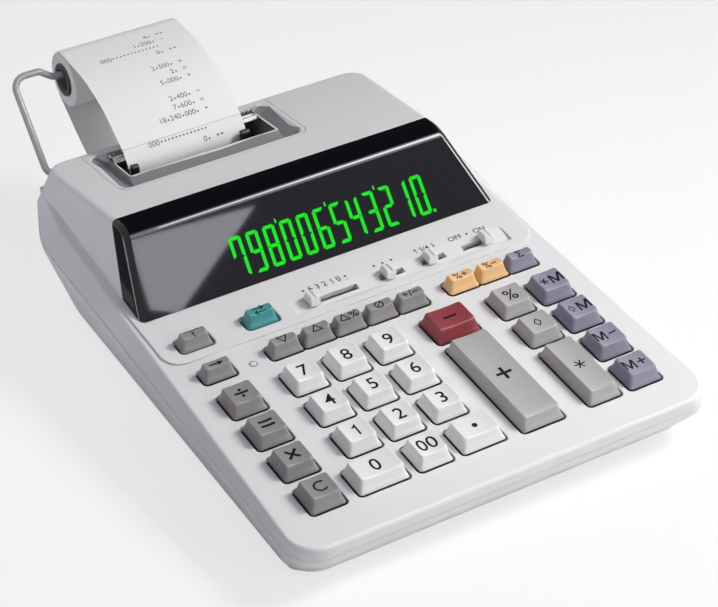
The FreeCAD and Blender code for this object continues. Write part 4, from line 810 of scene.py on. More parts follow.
@dataclass(frozen=True)
class Key:
    """One key cap over its CAD solid."""

    span: Span
    rise: float = 5.5
    skirt: float = 3.0
    corner: float = 1.25
    edge: float = 0.45
    dish: float = 0.8
    flare: float = 0.6
    lean_side: float = 1.6
    lean_front: float = 2.6
    lean_back: float = 1.2
    long_key: float = 20.0
    edge_corner: float = 0.3
    top_corner: float = 0.2
    # a black band in the gap round the foot, painted shadow of the gap
    gap_out: float = 0.04
    gap_in: float = 0.12
    gap_low: float = 0.03
    gap_high: float = 0.06

    SIDE_SHARES = (0.0, 0.2, 0.45, 0.7)
    TOP_SHARES = (0.86, 0.7, 0.52, 0.34, 0.17, 0.03)
    EDGE_STEPS = 4
    DIP_POWER = 6
    SIDE_RUNS = 4
    LONG_RUNS = 12

    @property
    def middle(self) -> Pair:
        """The middle of the key's foot."""
        low, high = self.span.low, self.span.high
        return (low.x + high.x) / 2, (low.y + high.y) / 2

    def ring(self, share: float, inset: float, radius: float) -> List[Pair]:
        """The outline at a share of the height, moved in by inset."""
        low, high = self.span.low, self.span.high
        lean = share ** self.flare
        along = self.LONG_RUNS if high.y - low.y > self.long_key else self.SIDE_RUNS
        return rounded_ring(low.x + self.lean_side * lean + inset, low.y + self.lean_front * lean + inset,
                            high.x - self.lean_side * lean - inset, high.y - self.lean_back * lean - inset,
                            radius, along=along)

    def top(self, x: float, y: float) -> float:
        """Height of the dished top."""
        half = (self.span.high.x - self.span.low.x) / 2 - self.lean_side
        reach = min(1.0, abs(x - self.middle[0]) / half)
        return self.rise - self.dish * (1 - reach * reach)

    def rings(self) -> List[List[Triple]]:
        """The rings of the cap from the skirt to the middle of the top."""
        rings: List[List[Triple]] = [[(x, y, -self.skirt) for x, y in self.ring(0, 0, self.corner)]]
        for share in (*self.SIDE_SHARES, (self.rise - self.edge) / self.rise):
            dip = share ** self.DIP_POWER
            rings.append([(x, y, share * self.rise - dip * (self.rise - self.top(x, y)))
                          for x, y in self.ring(share, 0, self.corner)])
        for step in range(1, self.EDGE_STEPS + 1):
            angle = math.radians(90 * step / self.EDGE_STEPS)
            inset = self.edge * (1 - math.cos(angle))
            lift = self.edge * (1 - math.sin(angle))
            rings.append([(x, y, self.top(x, y) - lift)
                          for x, y in self.ring(1.0, inset, self.corner - self.edge_corner * inset)])
        for share in self.TOP_SHARES:
            rings.append(self.shrunk(share))
        return rings

    def shrunk(self, share: float) -> List[Triple]:
        """The top's outline drawn in towards its middle."""
        outline = self.ring(1.0, self.edge, self.corner - self.top_corner)
        x_middle = sum(x for x, y in outline) / len(outline)
        y_middle = (min(y for x, y in outline) + max(y for x, y in outline)) / 2
        ring = []
        for x, y in outline:
            near = x_middle + (x - x_middle) * share
            deep = y_middle + (y - y_middle) * share
            ring.append((near, deep, self.top(near, deep)))
        return ring

    def foot(self) -> List[List[Triple]]:
        """The rings of a black band in the gap round the key's foot, painted shadow of the gap."""
        levels = ((-self.skirt, -self.gap_out), (self.gap_low, -self.gap_out), (self.gap_high, self.gap_in))
        return [[(x, y, z) for x, y in self.ring(0, inset, self.corner)] for z, inset in levels]

    def face(self) -> Pair:
        """The middle of the key's top."""
        x, y = self.middle
        return x, y + (self.lean_front - self.lean_back) / 2


def arrow(turn: float) -> List[Pair]:
    """A plain arrow of unit length, turned by degrees from pointing right."""
    outline = ((-0.5, -0.06), (0.12, -0.06), (0.12, -0.2), (0.5, 0.0), (0.12, 0.2), (0.12, 0.06),
               (-0.5, 0.06))
    angle = math.radians(turn)
    return [(x * math.cos(angle) - y * math.sin(angle), x * math.sin(angle) + y * math.cos(angle))
            for x, y in outline]


@dataclass
class Keyboard:
    """The keys and their signs."""

    palette: Palette
    inscriber: Inscriber
    nodes: Dict[str, bpy.types.Object]
    ink_lift: float = 0.012
    enlarge: float = 1.13
    mark_share: float = 0.6
    pair_places: Pair = (-0.42, 0.4)

    MEMORY = "M"
    EM = ((0, 0), (0.11, 0), (0.11, 0.5), (0.335, 0), (0.425, 0), (0.65, 0.5), (0.65, 0), (0.76, 0),
          (0.76, 0.72), (0.6, 0.72), (0.38, 0.22), (0.16, 0.72), (0, 0.72))
    TORN_EDGE = ((-0.9, 0.62), (-0.6, 0.82), (-0.3, 0.62), (0.0, 0.82), (0.3, 0.62), (0.6, 0.82), (0.9, 0.62),
                 (0.9, 0.5), (0.6, 0.7), (0.3, 0.5), (0.0, 0.7), (-0.3, 0.5), (-0.6, 0.7), (-0.9, 0.5))
    DIAMOND = (((0, 0.5), (-0.36, 0), (0, -0.5), (0, -0.34), (-0.24, 0), (0, 0.34)),
               ((0, 0.5), (0.36, 0), (0, -0.5), (0, -0.34), (0.24, 0), (0, 0.34)))
    STAR = tuple(tuple((x * math.cos(turn) - y * math.sin(turn), x * math.sin(turn) + y * math.cos(turn))
                       for x, y in ((-0.5, -0.065), (0.5, -0.065), (0.5, 0.065), (-0.5, 0.065)))
                 for turn in (0.0, math.pi / 3, 2 * math.pi / 3))
    LOOKS = (
        (Finish.DIGIT_KEY, "key_white", 7.6, (
            ("zero", "0"), ("double_zero", "00"), ("one", "1"), ("two", "2"), ("three", "3"), ("four", "4"),
            ("five", "5"), ("six", "6"), ("seven", "7"), ("eight", "8"), ("nine", "9"))),
        (Finish.DIGIT_KEY, "key_white", 15.0, (("point", "."),)),
        (Finish.GREY_KEY, "key_grey", 10.5, (("multiply", "×"), ("equals", "="), ("divide", "÷"))),
        (Finish.GREY_KEY, "key_grey", 6.8, (("clear", "C"),)),
        (Finish.GREY_KEY, "key_grey", 4.8, (
            ("cost", "▽"), ("sell", "△"), ("margin", "△%"), ("average", "Ø"), ("sign", "+/−"))),
        (Finish.GREY_KEY, "key_grey", 5.4, (("shift", "right"),)),
        (Finish.GREY_KEY, "key_grey", 3.0, (("paper_feed", "feed"),)),
        (Finish.TEAL_KEY, "key_teal", 5.0, (("exchange", "⇄"),)),
        (Finish.ORANGE_KEY, "key_orange", 4.6, (("tax_plus", "%+"), ("tax_minus", "%−"))),
        (Finish.BLUE_KEY, "key_blue_grey", 4.8, (("grand_total", "Σ"),)),
        (Finish.BLUE_KEY, "key_blue_grey", 6.2, (
            ("memory_plus", "M+"), ("memory_minus", "M−"), ("memory_subtotal", "◊M"),
            ("memory_total", "∗M"))),
        (Finish.LIGHT_KEY, "key_light_grey", 7.4, (("percent", "%"),)),
        (Finish.LIGHT_KEY, "key_light_grey", 4.2, (("subtotal", "◊"), ("total", "∗"))),
        (Finish.LIGHT_KEY, "key_light_grey", 12.5, (("plus", "+"),)),
        (Finish.RED_KEY, "key_red", 11.0, (("minus", "−"),)))

    def looks(self) -> List[KeyLook]:
        """The look of every key."""
        return [KeyLook(name, finish, slot, sign, letter)
                for finish, slot, letter, signs in self.LOOKS for name, sign in signs]

    def glyph(self, look: KeyLook) -> bmesh.types.BMesh:
        """The flat sign of a key."""
        size = look.letter * self.enlarge
        marks = {"◊": self.DIAMOND, "∗": self.STAR}
        if look.sign in marks:
            return self.inscriber.shapes(marks[look.sign], size)
        if self.MEMORY in look.sign:
            pair = Solid()
            for letter, across in zip(look.sign, self.pair_places):
                if letter in marks:
                    mark = self.inscriber.shapes(marks[letter], size * self.mark_share)
                elif letter == self.MEMORY:
                    mark = self.inscriber.shapes([self.EM], size)
                else:
                    mark = self.inscriber.sign(letter, size)
                bmesh.ops.translate(mark, verts=mark.verts[:], vec=(across * size, 0, 0))
                pair.take(mark)
            return pair.mesh
        if look.sign == "right":
            return self.inscriber.shapes([arrow(0)], size)
        if look.sign == "feed":
            return self.inscriber.shapes([arrow(90), self.TORN_EDGE], size)
        return self.inscriber.sign(look.sign, size)

    def build(self) -> None:
        """Make every key and lay its sign on its top."""
        for look in self.looks():
            key = Key(Span.of(self.nodes["key_" + look.name]))
            cap = Solid()
            cap.rings(key.rings())
            x, y = key.face()
            sign = self.inscriber.draped(self.glyph(look), x, y,
                                         lambda u, v, key=key: key.top(u, v) + self.ink_lift)
            cap.take(sign, slot=1)
            # black band in the gap round the foot: painted shadow
            cap.rings(key.foot(), slot=2)
            finishes = [self.palette.get(finish) for finish in (look.finish, Finish.INK, Finish.PRINTER_BLACK_AND_SHADE)]
            piece = cap.make("cap_" + look.name, finishes, sharp=50, merge=0)
            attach(piece, "key_" + look.name)
            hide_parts("key_" + look.name)
        LOG.info("keys: %d", len(self.looks()))


# Slide switches


@dataclass
class Switches:
    """The slide knobs and the marks printed behind them."""

    palette: Palette
    inscriber: Inscriber
    row: BarRow
    y: float = 46.0
    knobs: Tuple[Tuple[str, float], ...] = (("decimal", -17.0), ("rate", 18.5), ("rounding", 38.5),
                                            ("power", 65.5))
    half: float = 2.3
    reach: float = 3.5
    foot: float = 0.7
    height: float = 4.5
    draft_side: float = 0.4
    draft_end: float = 1.2
    groove: float = 0.45
    groove_deep: float = 0.9
    groove_foot: float = 0.6
    neck_half: Pair = (1.0, 1.2)
    neck_low: float = -4.0
    neck_overlap: float = 0.2
    edge: float = 0.28
    panel: float = 0.6
    ink_lift: float = 0.012
    mark_y: float = 53.2
    arrow_size: float = 3.0
    scale_left: float = -17.0
    scale_step: float = 3.25
    ticks: int = 7
    tick_drop: float = 1.9
    tick_lift: float = 0.01
    tick_size: Triple = (0.22, 0.9, 0.04)

    SCALE = ("63210", 4.0)
    DOTS = ((-17.0, 2.5, 16.1, 20.2, 24.3), 4.2)
    WORDS = ((40.2, 0.0, "5/4", 3.4), (55.0, -0.4, "OFF", 3.8), (60.7, -0.4, "•", 4.2),
             (66.8, -0.4, "ON", 3.8))
    ARROWS = ((36.0, 90), (44.4, -90))

    def knob(self, name: str, x: float) -> None:
        """One knob: a tapered head with a finger groove, on a neck."""
        slope = self.draft_end / (self.height - self.foot)
        half, groove, low = self.half, self.groove, self.height - self.groove_deep
        outline = ((-half, self.foot), (half, self.foot), (half - self.draft_side, self.height),
                   (groove, self.height), (groove * self.groove_foot, low), (-groove * self.groove_foot, low),
                   (-groove, self.height), (self.draft_side - half, self.height))
        ends = [[(x + u, self.y + side * (self.reach - slope * (z - self.foot)), z) for u, z in outline]
                for side in (-1, 1)]
        solid = Solid()
        solid.rings(ends)
        neck_x, neck_y = self.neck_half
        solid.box((x - neck_x, self.y - neck_y, self.neck_low),
                  (x + neck_x, self.y + neck_y, self.foot + self.neck_overlap))
        piece = solid.make("slider_" + name, [self.palette.get(Finish.KNOB)], sharp=30)
        soften(piece, self.edge, 3)
        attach(piece, "knob_" + name)
        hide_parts("knob_" + name)

    def marks(self) -> None:
        """The printed scale marks behind the knobs."""
        ink = Solid()

        def level(x: float, y: float) -> float:
            """The panel's height."""
            return self.panel + self.ink_lift

        digits, digit_size = self.SCALE
        dots, dot_size = self.DOTS
        places = [(self.scale_left + self.scale_step * (index + 1), 0.0, digit, digit_size)
                  for index, digit in enumerate(digits)]
        places += [(x, 0.0, "•", dot_size) for x in dots]
        places += self.WORDS
        for x, drop, text, size in places:
            ink.take(self.inscriber.draped(self.inscriber.sign(text, size), x, self.mark_y + drop, level))
        for x, turn in self.ARROWS:
            mark = self.inscriber.shapes([arrow(turn)], self.arrow_size)
            ink.take(self.inscriber.draped(mark, x, self.mark_y, level))
        piece = ink.make("panel_marks", [self.palette.get(Finish.PANEL_INK_AND_SHADE)], merge=0)
        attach(piece, "case")
        start = (self.scale_left, self.mark_y - self.tick_drop, self.panel + self.tick_lift)
        ticks = self.row.make("scale_ticks", self.palette.get(Finish.PANEL_INK_AND_SHADE), self.ticks, start,
                              (self.scale_step, 0, 0), self.tick_size)
        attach(ticks, "case")

    def build(self) -> None:
        """Make the knobs and marks."""
        for name, x in self.knobs:
            self.knob(name, x)
        self.marks()
        LOG.info("switches: %d", len(self.knobs))


# Display


@dataclass
class Display:
    """The lit digits behind the window."""

    palette: Palette
    text: str = "798'006'543'210."
    left: float = -36.5
    pitch: float = 7.76
    low: float = 5.3
    tall: float = 17.4
    wide: float = 5.5
    bar: float = 1.45
    gap: float = 0.09
    cut: float = 0.8
    slant: float = 0.09
    lift: float = 0.03
    sink: float = 0.02
    point: float = 1.3
    point_gap: float = 0.7

    TICK = ((-0.35, -0.2), (0.5, -0.2), (0.3, 1.6), (-0.25, 1.6))
    LIT = {"0": "abcdef", "1": "bc", "2": "abged", "3": "abgcd", "4": "fgbc", "5": "afgcd", "6": "afgedc",
           "7": "fabc", "8": "abcdefg", "9": "gfabcd"}

    def segment(self, name: str) -> List[Pair]:
        """The outline of one segment in its digit, mitred against its neighbours."""
        wide, tall, bar, gap, cut = self.wide, self.tall, self.bar, self.gap, self.cut
        mid = tall / 2
        if name == "g":
            return [(bar / 2 + gap, mid), (bar + gap, mid - bar / 2), (wide - bar - gap, mid - bar / 2),
                    (wide - bar / 2 - gap, mid), (wide - bar - gap, mid + bar / 2),
                    (bar + gap, mid + bar / 2)]
        if name in "ad":
            outline = [(cut / 2 + gap, tall - cut / 2), (cut + gap, tall), (wide - cut - gap, tall),
                       (wide - cut / 2 - gap, tall - cut / 2), (wide - bar - gap, tall - bar),
                       (bar + gap, tall - bar)]
        else:
            outline = [(0, mid + gap), (0, tall - cut - gap), (cut / 2, tall - cut / 2 - gap),
                       (bar, tall - bar - gap), (bar, mid + bar / 2 + gap), (bar / 2, mid + gap)]
        if name in "bc":
            outline = [(wide - x, y) for x, y in outline]
        if name in "cde":
            outline = [(x, tall - y) for x, y in outline]
        return outline

    def outlines(self) -> List[List[Pair]]:
        """Every lit outline on the window's plane."""
        shapes: List[List[Pair]] = []
        place = self.left
        for sign in self.text:
            if sign == "'":
                middle = place - 0.5 * (self.pitch - self.wide)
                shapes.append([(middle + x, self.tall + y) for x, y in self.TICK])
            elif sign == ".":
                x = place - self.pitch + self.wide + self.point_gap
                shapes.append([(x, 0), (x + self.point, 0), (x + self.point, self.point), (x, self.point)])
            else:
                shapes += [[(place + x, y) for x, y in self.segment(name)] for name in self.LIT[sign]]
                place += self.pitch
        return [[(x + self.slant * y, y + self.low) for x, y in outline] for outline in shapes]

    def build(self) -> None:
        """Make the digits on the window's slope."""
        solid = Solid()
        for outline in self.outlines():
            solid.prism([(x, y, -self.sink) for x, y in outline], (0, 0, self.lift + self.sink))
        piece = solid.make("display_digits", [self.palette.get(Finish.SEGMENT)],
                           DECK.matrix() @ WINDOW.matrix())
        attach(piece, "case")
        LOG.info("display: %d characters", len(self.text))


# Paper


@dataclass
class PaperPath:
    """The web of paper from the rear slot round the platen, out of the mouth and over the roll."""

    palette: Palette
    inscriber: Inscriber
    left: float = -46.5
    wide: float = 56.0
    thick: float = 0.1
    inner: Tuple[Triple, ...] = ((168.5, -17.0, 0), (147.543, -13.525, 6.425), (146.086, 2.82, 0))
    outer: Tuple[Triple, ...] = ((146.086, 2.82, 0), (145.549, 8.795, 12.0), (152.881, 16.388, 2.0),
                                 (170.249, 26.395, 40.0), (188.0, 31.3, 60.0), (213.366, 30.839, 12.425),
                                 (217.186, 27.399, 0))
    feed: Tuple[Triple, ...] = ((168.5, -17.0, 0), (194.0, -5.6, 70.0), (214.4, 7.5, 0))
    outer_blend: Tuple[Triple, Triple] = ((0, 153.5, 17), (0, 202, 31))
    feed_blend: Tuple[Triple, Triple] = ((0, 170, -16), (0, 213, 7))
    roll_y: float = 208.5
    roll_z: float = 18.5
    roll_radius: float = 12.0
    roll_edge: float = 0.25
    core_radius: float = 7.3
    core_bore: float = 5.0
    core_out: float = 1.0
    core_edge: float = 0.3
    core_gap: float = 0.1
    turns: int = 9
    fold_mark: float = 15.9
    first_row: float = 5.7
    line: float = 4.3
    tall: float = 3.5
    dot_size: float = 3.4
    dot_drop: float = 0.12
    column: float = 1.75
    point_column: float = 38.8
    sign_step: float = 4.2
    sign_pitch: float = 2.0
    ink_thick: float = 0.02
    ink_lift: float = 0.012
    bend_pitch: float = 0.4
    # size and lift of the grey line at the fold, a painted shadow of the crease
    crease_half: float = 0.1
    crease_low: float = 0.1
    crease_high: float = 0.02
    crease_lift: float = 0.01

    DOT = "•"
    RULE = "000" + DOT * 13
    ROWS = ((0, "0•", "∗∗"), (1, RULE, ""), (3, "18•240•000•", "∗"), (4, "7•600•", "="),
            (5, "2•400•", "−"), (7, "5•000•", "∗"), (8, "2•", "="), (9, "2•500•", "×"), (11, "0•", "∗∗"),
            (12, RULE, ""), (13, "1•250•", "−"), (14, "4•", "∗∗"))
    TURN = ((0.0, 0.0), (0.85, 0.0), (0.92, 0.12))
    ROLL_FACETS = 96
    CORE_FACETS = 72

    def web(self, name: str, track: Track) -> bpy.types.Object:
        """A strip of paper along a track."""
        half = self.thick / 2
        right = self.left + self.wide
        rings = []
        for mark in track.marks:
            upper = track.at(mark, half)
            lower = track.at(mark, -half)
            rings.append([(self.left, *upper), (right, *upper), (right, *lower), (self.left, *lower)])
        solid = Solid()
        solid.rings(rings)
        return solid.make(name, [self.palette.get(Finish.PAPER)], sharp=60)

    def printed(self, track: Track) -> bpy.types.Object:
        """The printed rows, bent along the tape, each character in a column of its own, and a grey line at
        the fold that is painted shadow of the crease.
        """
        ink = Solid()
        for row, text, signs in self.ROWS:
            mark = self.fold_mark - self.first_row + row * self.line
            places = [(self.point_column - (len(text) - 1 - index) * self.column, letter)
                      for index, letter in enumerate(text)]
            places += [(self.point_column + self.sign_step + index * self.sign_pitch, letter)
                       for index, letter in enumerate(signs)]
            for across, letter in places:
                size = self.dot_size if letter == self.DOT else self.tall
                flat = self.inscriber.flat(letter, size, self.ink_thick)
                sign = self.inscriber.sliced(flat, 1, self.bend_pitch)
                drop = self.dot_drop * self.tall if letter == self.DOT and text != self.RULE else 0.0
                for vertex in sign.verts:
                    lift = self.thick / 2 + self.ink_lift + vertex.co.z
                    y, z = track.at(mark - drop + vertex.co.y, lift)
                    vertex.co = Vector((self.left + across + vertex.co.x, y, z))
                ink.take(sign)
        # a grey line along the fold: painted shadow of the crease
        y, z = track.at(self.fold_mark, self.thick / 2 + self.crease_lift)
        ink.box((self.left, y - self.crease_half, z - self.crease_low),
                (self.left + self.wide, y + self.crease_half, z + self.crease_high), slot=1)
        return ink.make("tape_print", [self.palette.get(Finish.RIBBON_INK), self.palette.get(Finish.CREASE)],
                        merge=0, sharp=60)

    def roll(self) -> None:
        """The roll with its wound turns at both ends, and its core."""
        pitch = (self.roll_radius - self.core_radius - self.core_gap) / self.turns
        low = []
        for index in range(self.turns):
            radius = self.core_radius + self.core_gap + index * pitch
            low += [(radius + share * pitch, depth) for share, depth in self.TURN]
        low.append((self.roll_radius, self.roll_edge))
        high = [(radius, self.wide - depth) for radius, depth in reversed(low)]
        solid = Solid()
        solid.lathe(low + high, (0, 0, 0), self.ROLL_FACETS)
        turn = (Matrix.Translation((self.left, self.roll_y, self.roll_z))
                @ Matrix.Rotation(math.pi / 2, 4, "Y"))
        piece = solid.make("wound_roll", [self.palette.get(Finish.PAPER)], DECK.matrix() @ turn, sharp=40)
        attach(piece, "roll")
        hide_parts("paper_roll")
        bore, radius, out, edge = self.core_bore, self.core_radius, self.core_out, self.core_edge
        far = self.wide + out
        profile = [(bore + edge, -out), (radius - edge, -out), (radius, edge - out), (radius, far - edge),
                   (radius - edge, far), (bore + edge, far), (bore, far - edge), (bore, edge - out)]
        tube = Solid()
        tube.lathe(profile, (0, 0, 0), self.CORE_FACETS)
        core = tube.make("roll_tube", [self.palette.get(Finish.CORE)], DECK.matrix() @ turn, sharp=50)
        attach(core, "roll")
        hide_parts("roll_core")

    def build(self) -> None:
        """Make the webs, the print and the roll."""
        inner = Track(rounded_path(self.inner))
        outer = Track(rounded_path(self.outer))
        below = self.web("tape_inside", inner)
        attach(below, "case")
        tape = self.web("tape_printed", outer)
        ink = self.printed(outer)
        start, end = [DECK.point(*spot) for spot in self.outer_blend]
        for piece in (tape, ink):
            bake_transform(piece)
        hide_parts("printed_tape")
        feed = self.web("web_behind", Track(rounded_path(self.feed)))
        start, end = [DECK.point(*spot) for spot in self.feed_blend]
        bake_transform(feed)
        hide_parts("paper_strip")
        self.roll()
        LOG.info("paper: tape %.0f mm, strip and roll", outer.length)


# Case and printer details


@dataclass
class CaseDetails:
    """Finishes of the case nodes, the painted shade in the printer dish, and the small pieces on them."""

    palette: Palette
    nodes: Dict[str, bpy.types.Object]
    dimple: Pair = (-55.6, 24.8)
    dish_low: Pair = (-59.5, 126.5)
    dish_high: Pair = (27.0, 162.5)
    mouth_low: Pair = (-51.0, 136.6)
    mouth_high: Pair = (18.1, 156.1)
    # faces this far below the roof or deeper get the painted shade
    rim_depth: float = 0.45

    DOME = ((0.01, 0.25), (0.7, 0.22), (1.25, 0.08), (1.4, -0.05), (1.4, -0.3), (0.01, -0.3))
    # a dark ring in the groove round the dome, painted shade of the groove
    GAP_SHADE = ((1.45, 0.02), (1.75, 0.03), (1.75, -0.2), (1.45, -0.2))
    DIMPLE_FACETS = 40
    # material slots of the painted shade in the dish and on the mouth walls
    DISH_SHADE_SLOT = 1
    MOUTH_SHADE_SLOT = 2

    FINISHES = {"upper_case": Finish.CASE, "lower_case": Finish.CASE, "printer_cover": Finish.CASE,
                "display_window": Finish.WINDOW, "tear_bar": Finish.TEAR_BAR, "paper_holder": Finish.WIRE,
                "rubber_feet": Finish.RUBBER, "case_screws": Finish.STEEL, "display_tube": Finish.TUBE,
                "main_board": Finish.BOARD, "key_pad": Finish.PAD, "printer_frame": Finish.PRINTER_BLACK_AND_SHADE,
                "platen_roller": Finish.PLATEN, "print_wheel": Finish.WHEEL, "printer_motor": Finish.STEEL,
                "transformer": Finish.IRON}

    def dress(self) -> None:
        """Give the CAD nodes their finishes."""
        for name, finish in self.FINISHES.items():
            self.palette.dress(self.nodes[name], finish)

    def paint_dish_shade(self) -> None:
        """Paint the shade of the printer cover's recess: a darker grey in its dish and black on the walls of
        its mouth.
        """
        node = self.nodes["printer_cover"]
        # painted shade: darker grey in the dish, black on the mouth walls
        for finish in (Finish.BAY_SHADE, Finish.PRINTER_BLACK_AND_SHADE):
            node.data.materials.append(self.palette.get(finish))
        to_deck = DECK.matrix().inverted() @ node.matrix_world
        for face in node.data.polygons:
            spot = to_deck @ face.center
            if roof(spot.y) - spot.z < self.rim_depth:
                continue
            if all(low < value < high for low, value, high in zip(self.mouth_low, spot, self.mouth_high)):
                face.material_index = self.MOUTH_SHADE_SLOT
            elif all(low < value < high for low, value, high in zip(self.dish_low, spot, self.dish_high)):
                face.material_index = self.DISH_SHADE_SLOT

    def build(self) -> None:
        """Dress the nodes, paint the shade of the printer dish and add the small pieces."""
        self.dress()
        self.paint_dish_shade()
        # the dome, and a dark ring round it that is painted shade of its groove
        for name, profile, finish in (("dimple_dome", self.DOME, Finish.CASE),
                                      ("dimple_ring_shade", self.GAP_SHADE, Finish.PANEL_INK_AND_SHADE)):
            solid = Solid()
            solid.lathe(profile, (*self.dimple, 0), self.DIMPLE_FACETS)
            piece = solid.make(name, [self.palette.get(finish)], sharp=50)
            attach(piece, "case")
        LOG.info("case nodes dressed: %d", len(self.FINISHES))


@dataclass
class PrinterBay:
    """What shows in the paper mouth: guide fingers and their bar."""

    palette: Palette
    fingers: Tuple[Pair, ...] = ((-46.4, -42.9), (5.4, 9.9))
    side: Tuple[Pair, ...] = ((129, -2), (132.5, -2), (143.2, 5.2), (145.2, 7.4), (146.0, 10.0),
                              (146.9, 12.0), (146.4, 12.9), (145.0, 12.9), (144.3, 12.0), (144.1, 8.4),
                              (141.5, 6.8), (129, 1.5))
    bar_low: Triple = (-54.5, 128.6, -3.5)
    bar_high: Triple = (20.5, 131, 0.5)
    edge: float = 0.35

    def build(self) -> None:
        """Make the guide fingers and the bar that carries them."""
        solid = Solid()
        for left, right in self.fingers:
            solid.prism([(left, y, z) for y, z in self.side], (right - left, 0, 0))
        solid.box(self.bar_low, self.bar_high)
        piece = solid.make("paper_guides", [self.palette.get(Finish.PRINTER_BLACK_AND_SHADE)], sharp=30)
        soften(piece, self.edge, 2)
        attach(piece, "case")
        LOG.info("printer bay: %d guides", len(self.fingers))


# Studio


class Mirror(Enum):
    """The glossy surfaces that show the cards."""

    SLOPE = "the window's slope"
    CROWN = "the rounding above the slope"
    CHEEK = "the left side of the printer housing"


@dataclass(frozen=True)
class Lamp:
    """A soft square lamp, its light kept within spread degrees."""

    name: str
    place: Triple
    aim: Triple
    size: float
    power: float
    colour: Triple
    spread: float = 180.0

    def build(self) -> None:
        """Hang the lamp."""
        data = bpy.data.lights.new(self.name, "AREA")
        data.shape = "SQUARE"
        data.size = self.size
        data.energy = self.power
        data.color = self.colour
        data.spread = math.radians(self.spread)
        lamp = linked(self.name, data)
        lamp.location = self.place
        lamp.rotation_mode = "QUATERNION"
        lamp.rotation_quaternion = (Vector(self.aim) - Vector(self.place)).to_track_quat("-Z", "Y")


@dataclass(frozen=True)
class Card:
    """A light or dark card that only reflections see.

    Its corners hang reach millimetres from the spots of the mirrors where they show.
    """

    name: str
    reach: float
    colour: Triple
    strength: float
    corners: Tuple[Tuple[Mirror, float, float], ...]

    def material(self) -> bpy.types.Material:
        """The card's even glow."""
        material = bpy.data.materials.new(self.name)
        material.use_nodes = True
        tree = material.node_tree
        tree.nodes.clear()
        glow = ShaderKit.node(tree, "ShaderNodeEmission", in_Color=(*self.colour, 1),
                              in_Strength=self.strength)
        out = tree.nodes.new("ShaderNodeOutputMaterial")
        tree.links.new(glow.outputs[0], out.inputs["Surface"])
        return material

    def build(self, points: Sequence[Vector]) -> None:
        """Hang the card between world points."""
        mesh = bpy.data.meshes.new(self.name)
        mesh.from_pydata([tuple(point) for point in points], [], [tuple(range(len(points)))])
        mesh.materials.append(self.material())
        card = linked(self.name, mesh)
        card.visible_camera = False
        card.visible_diffuse = False
        card.visible_shadow = False
        card.visible_transmission = False


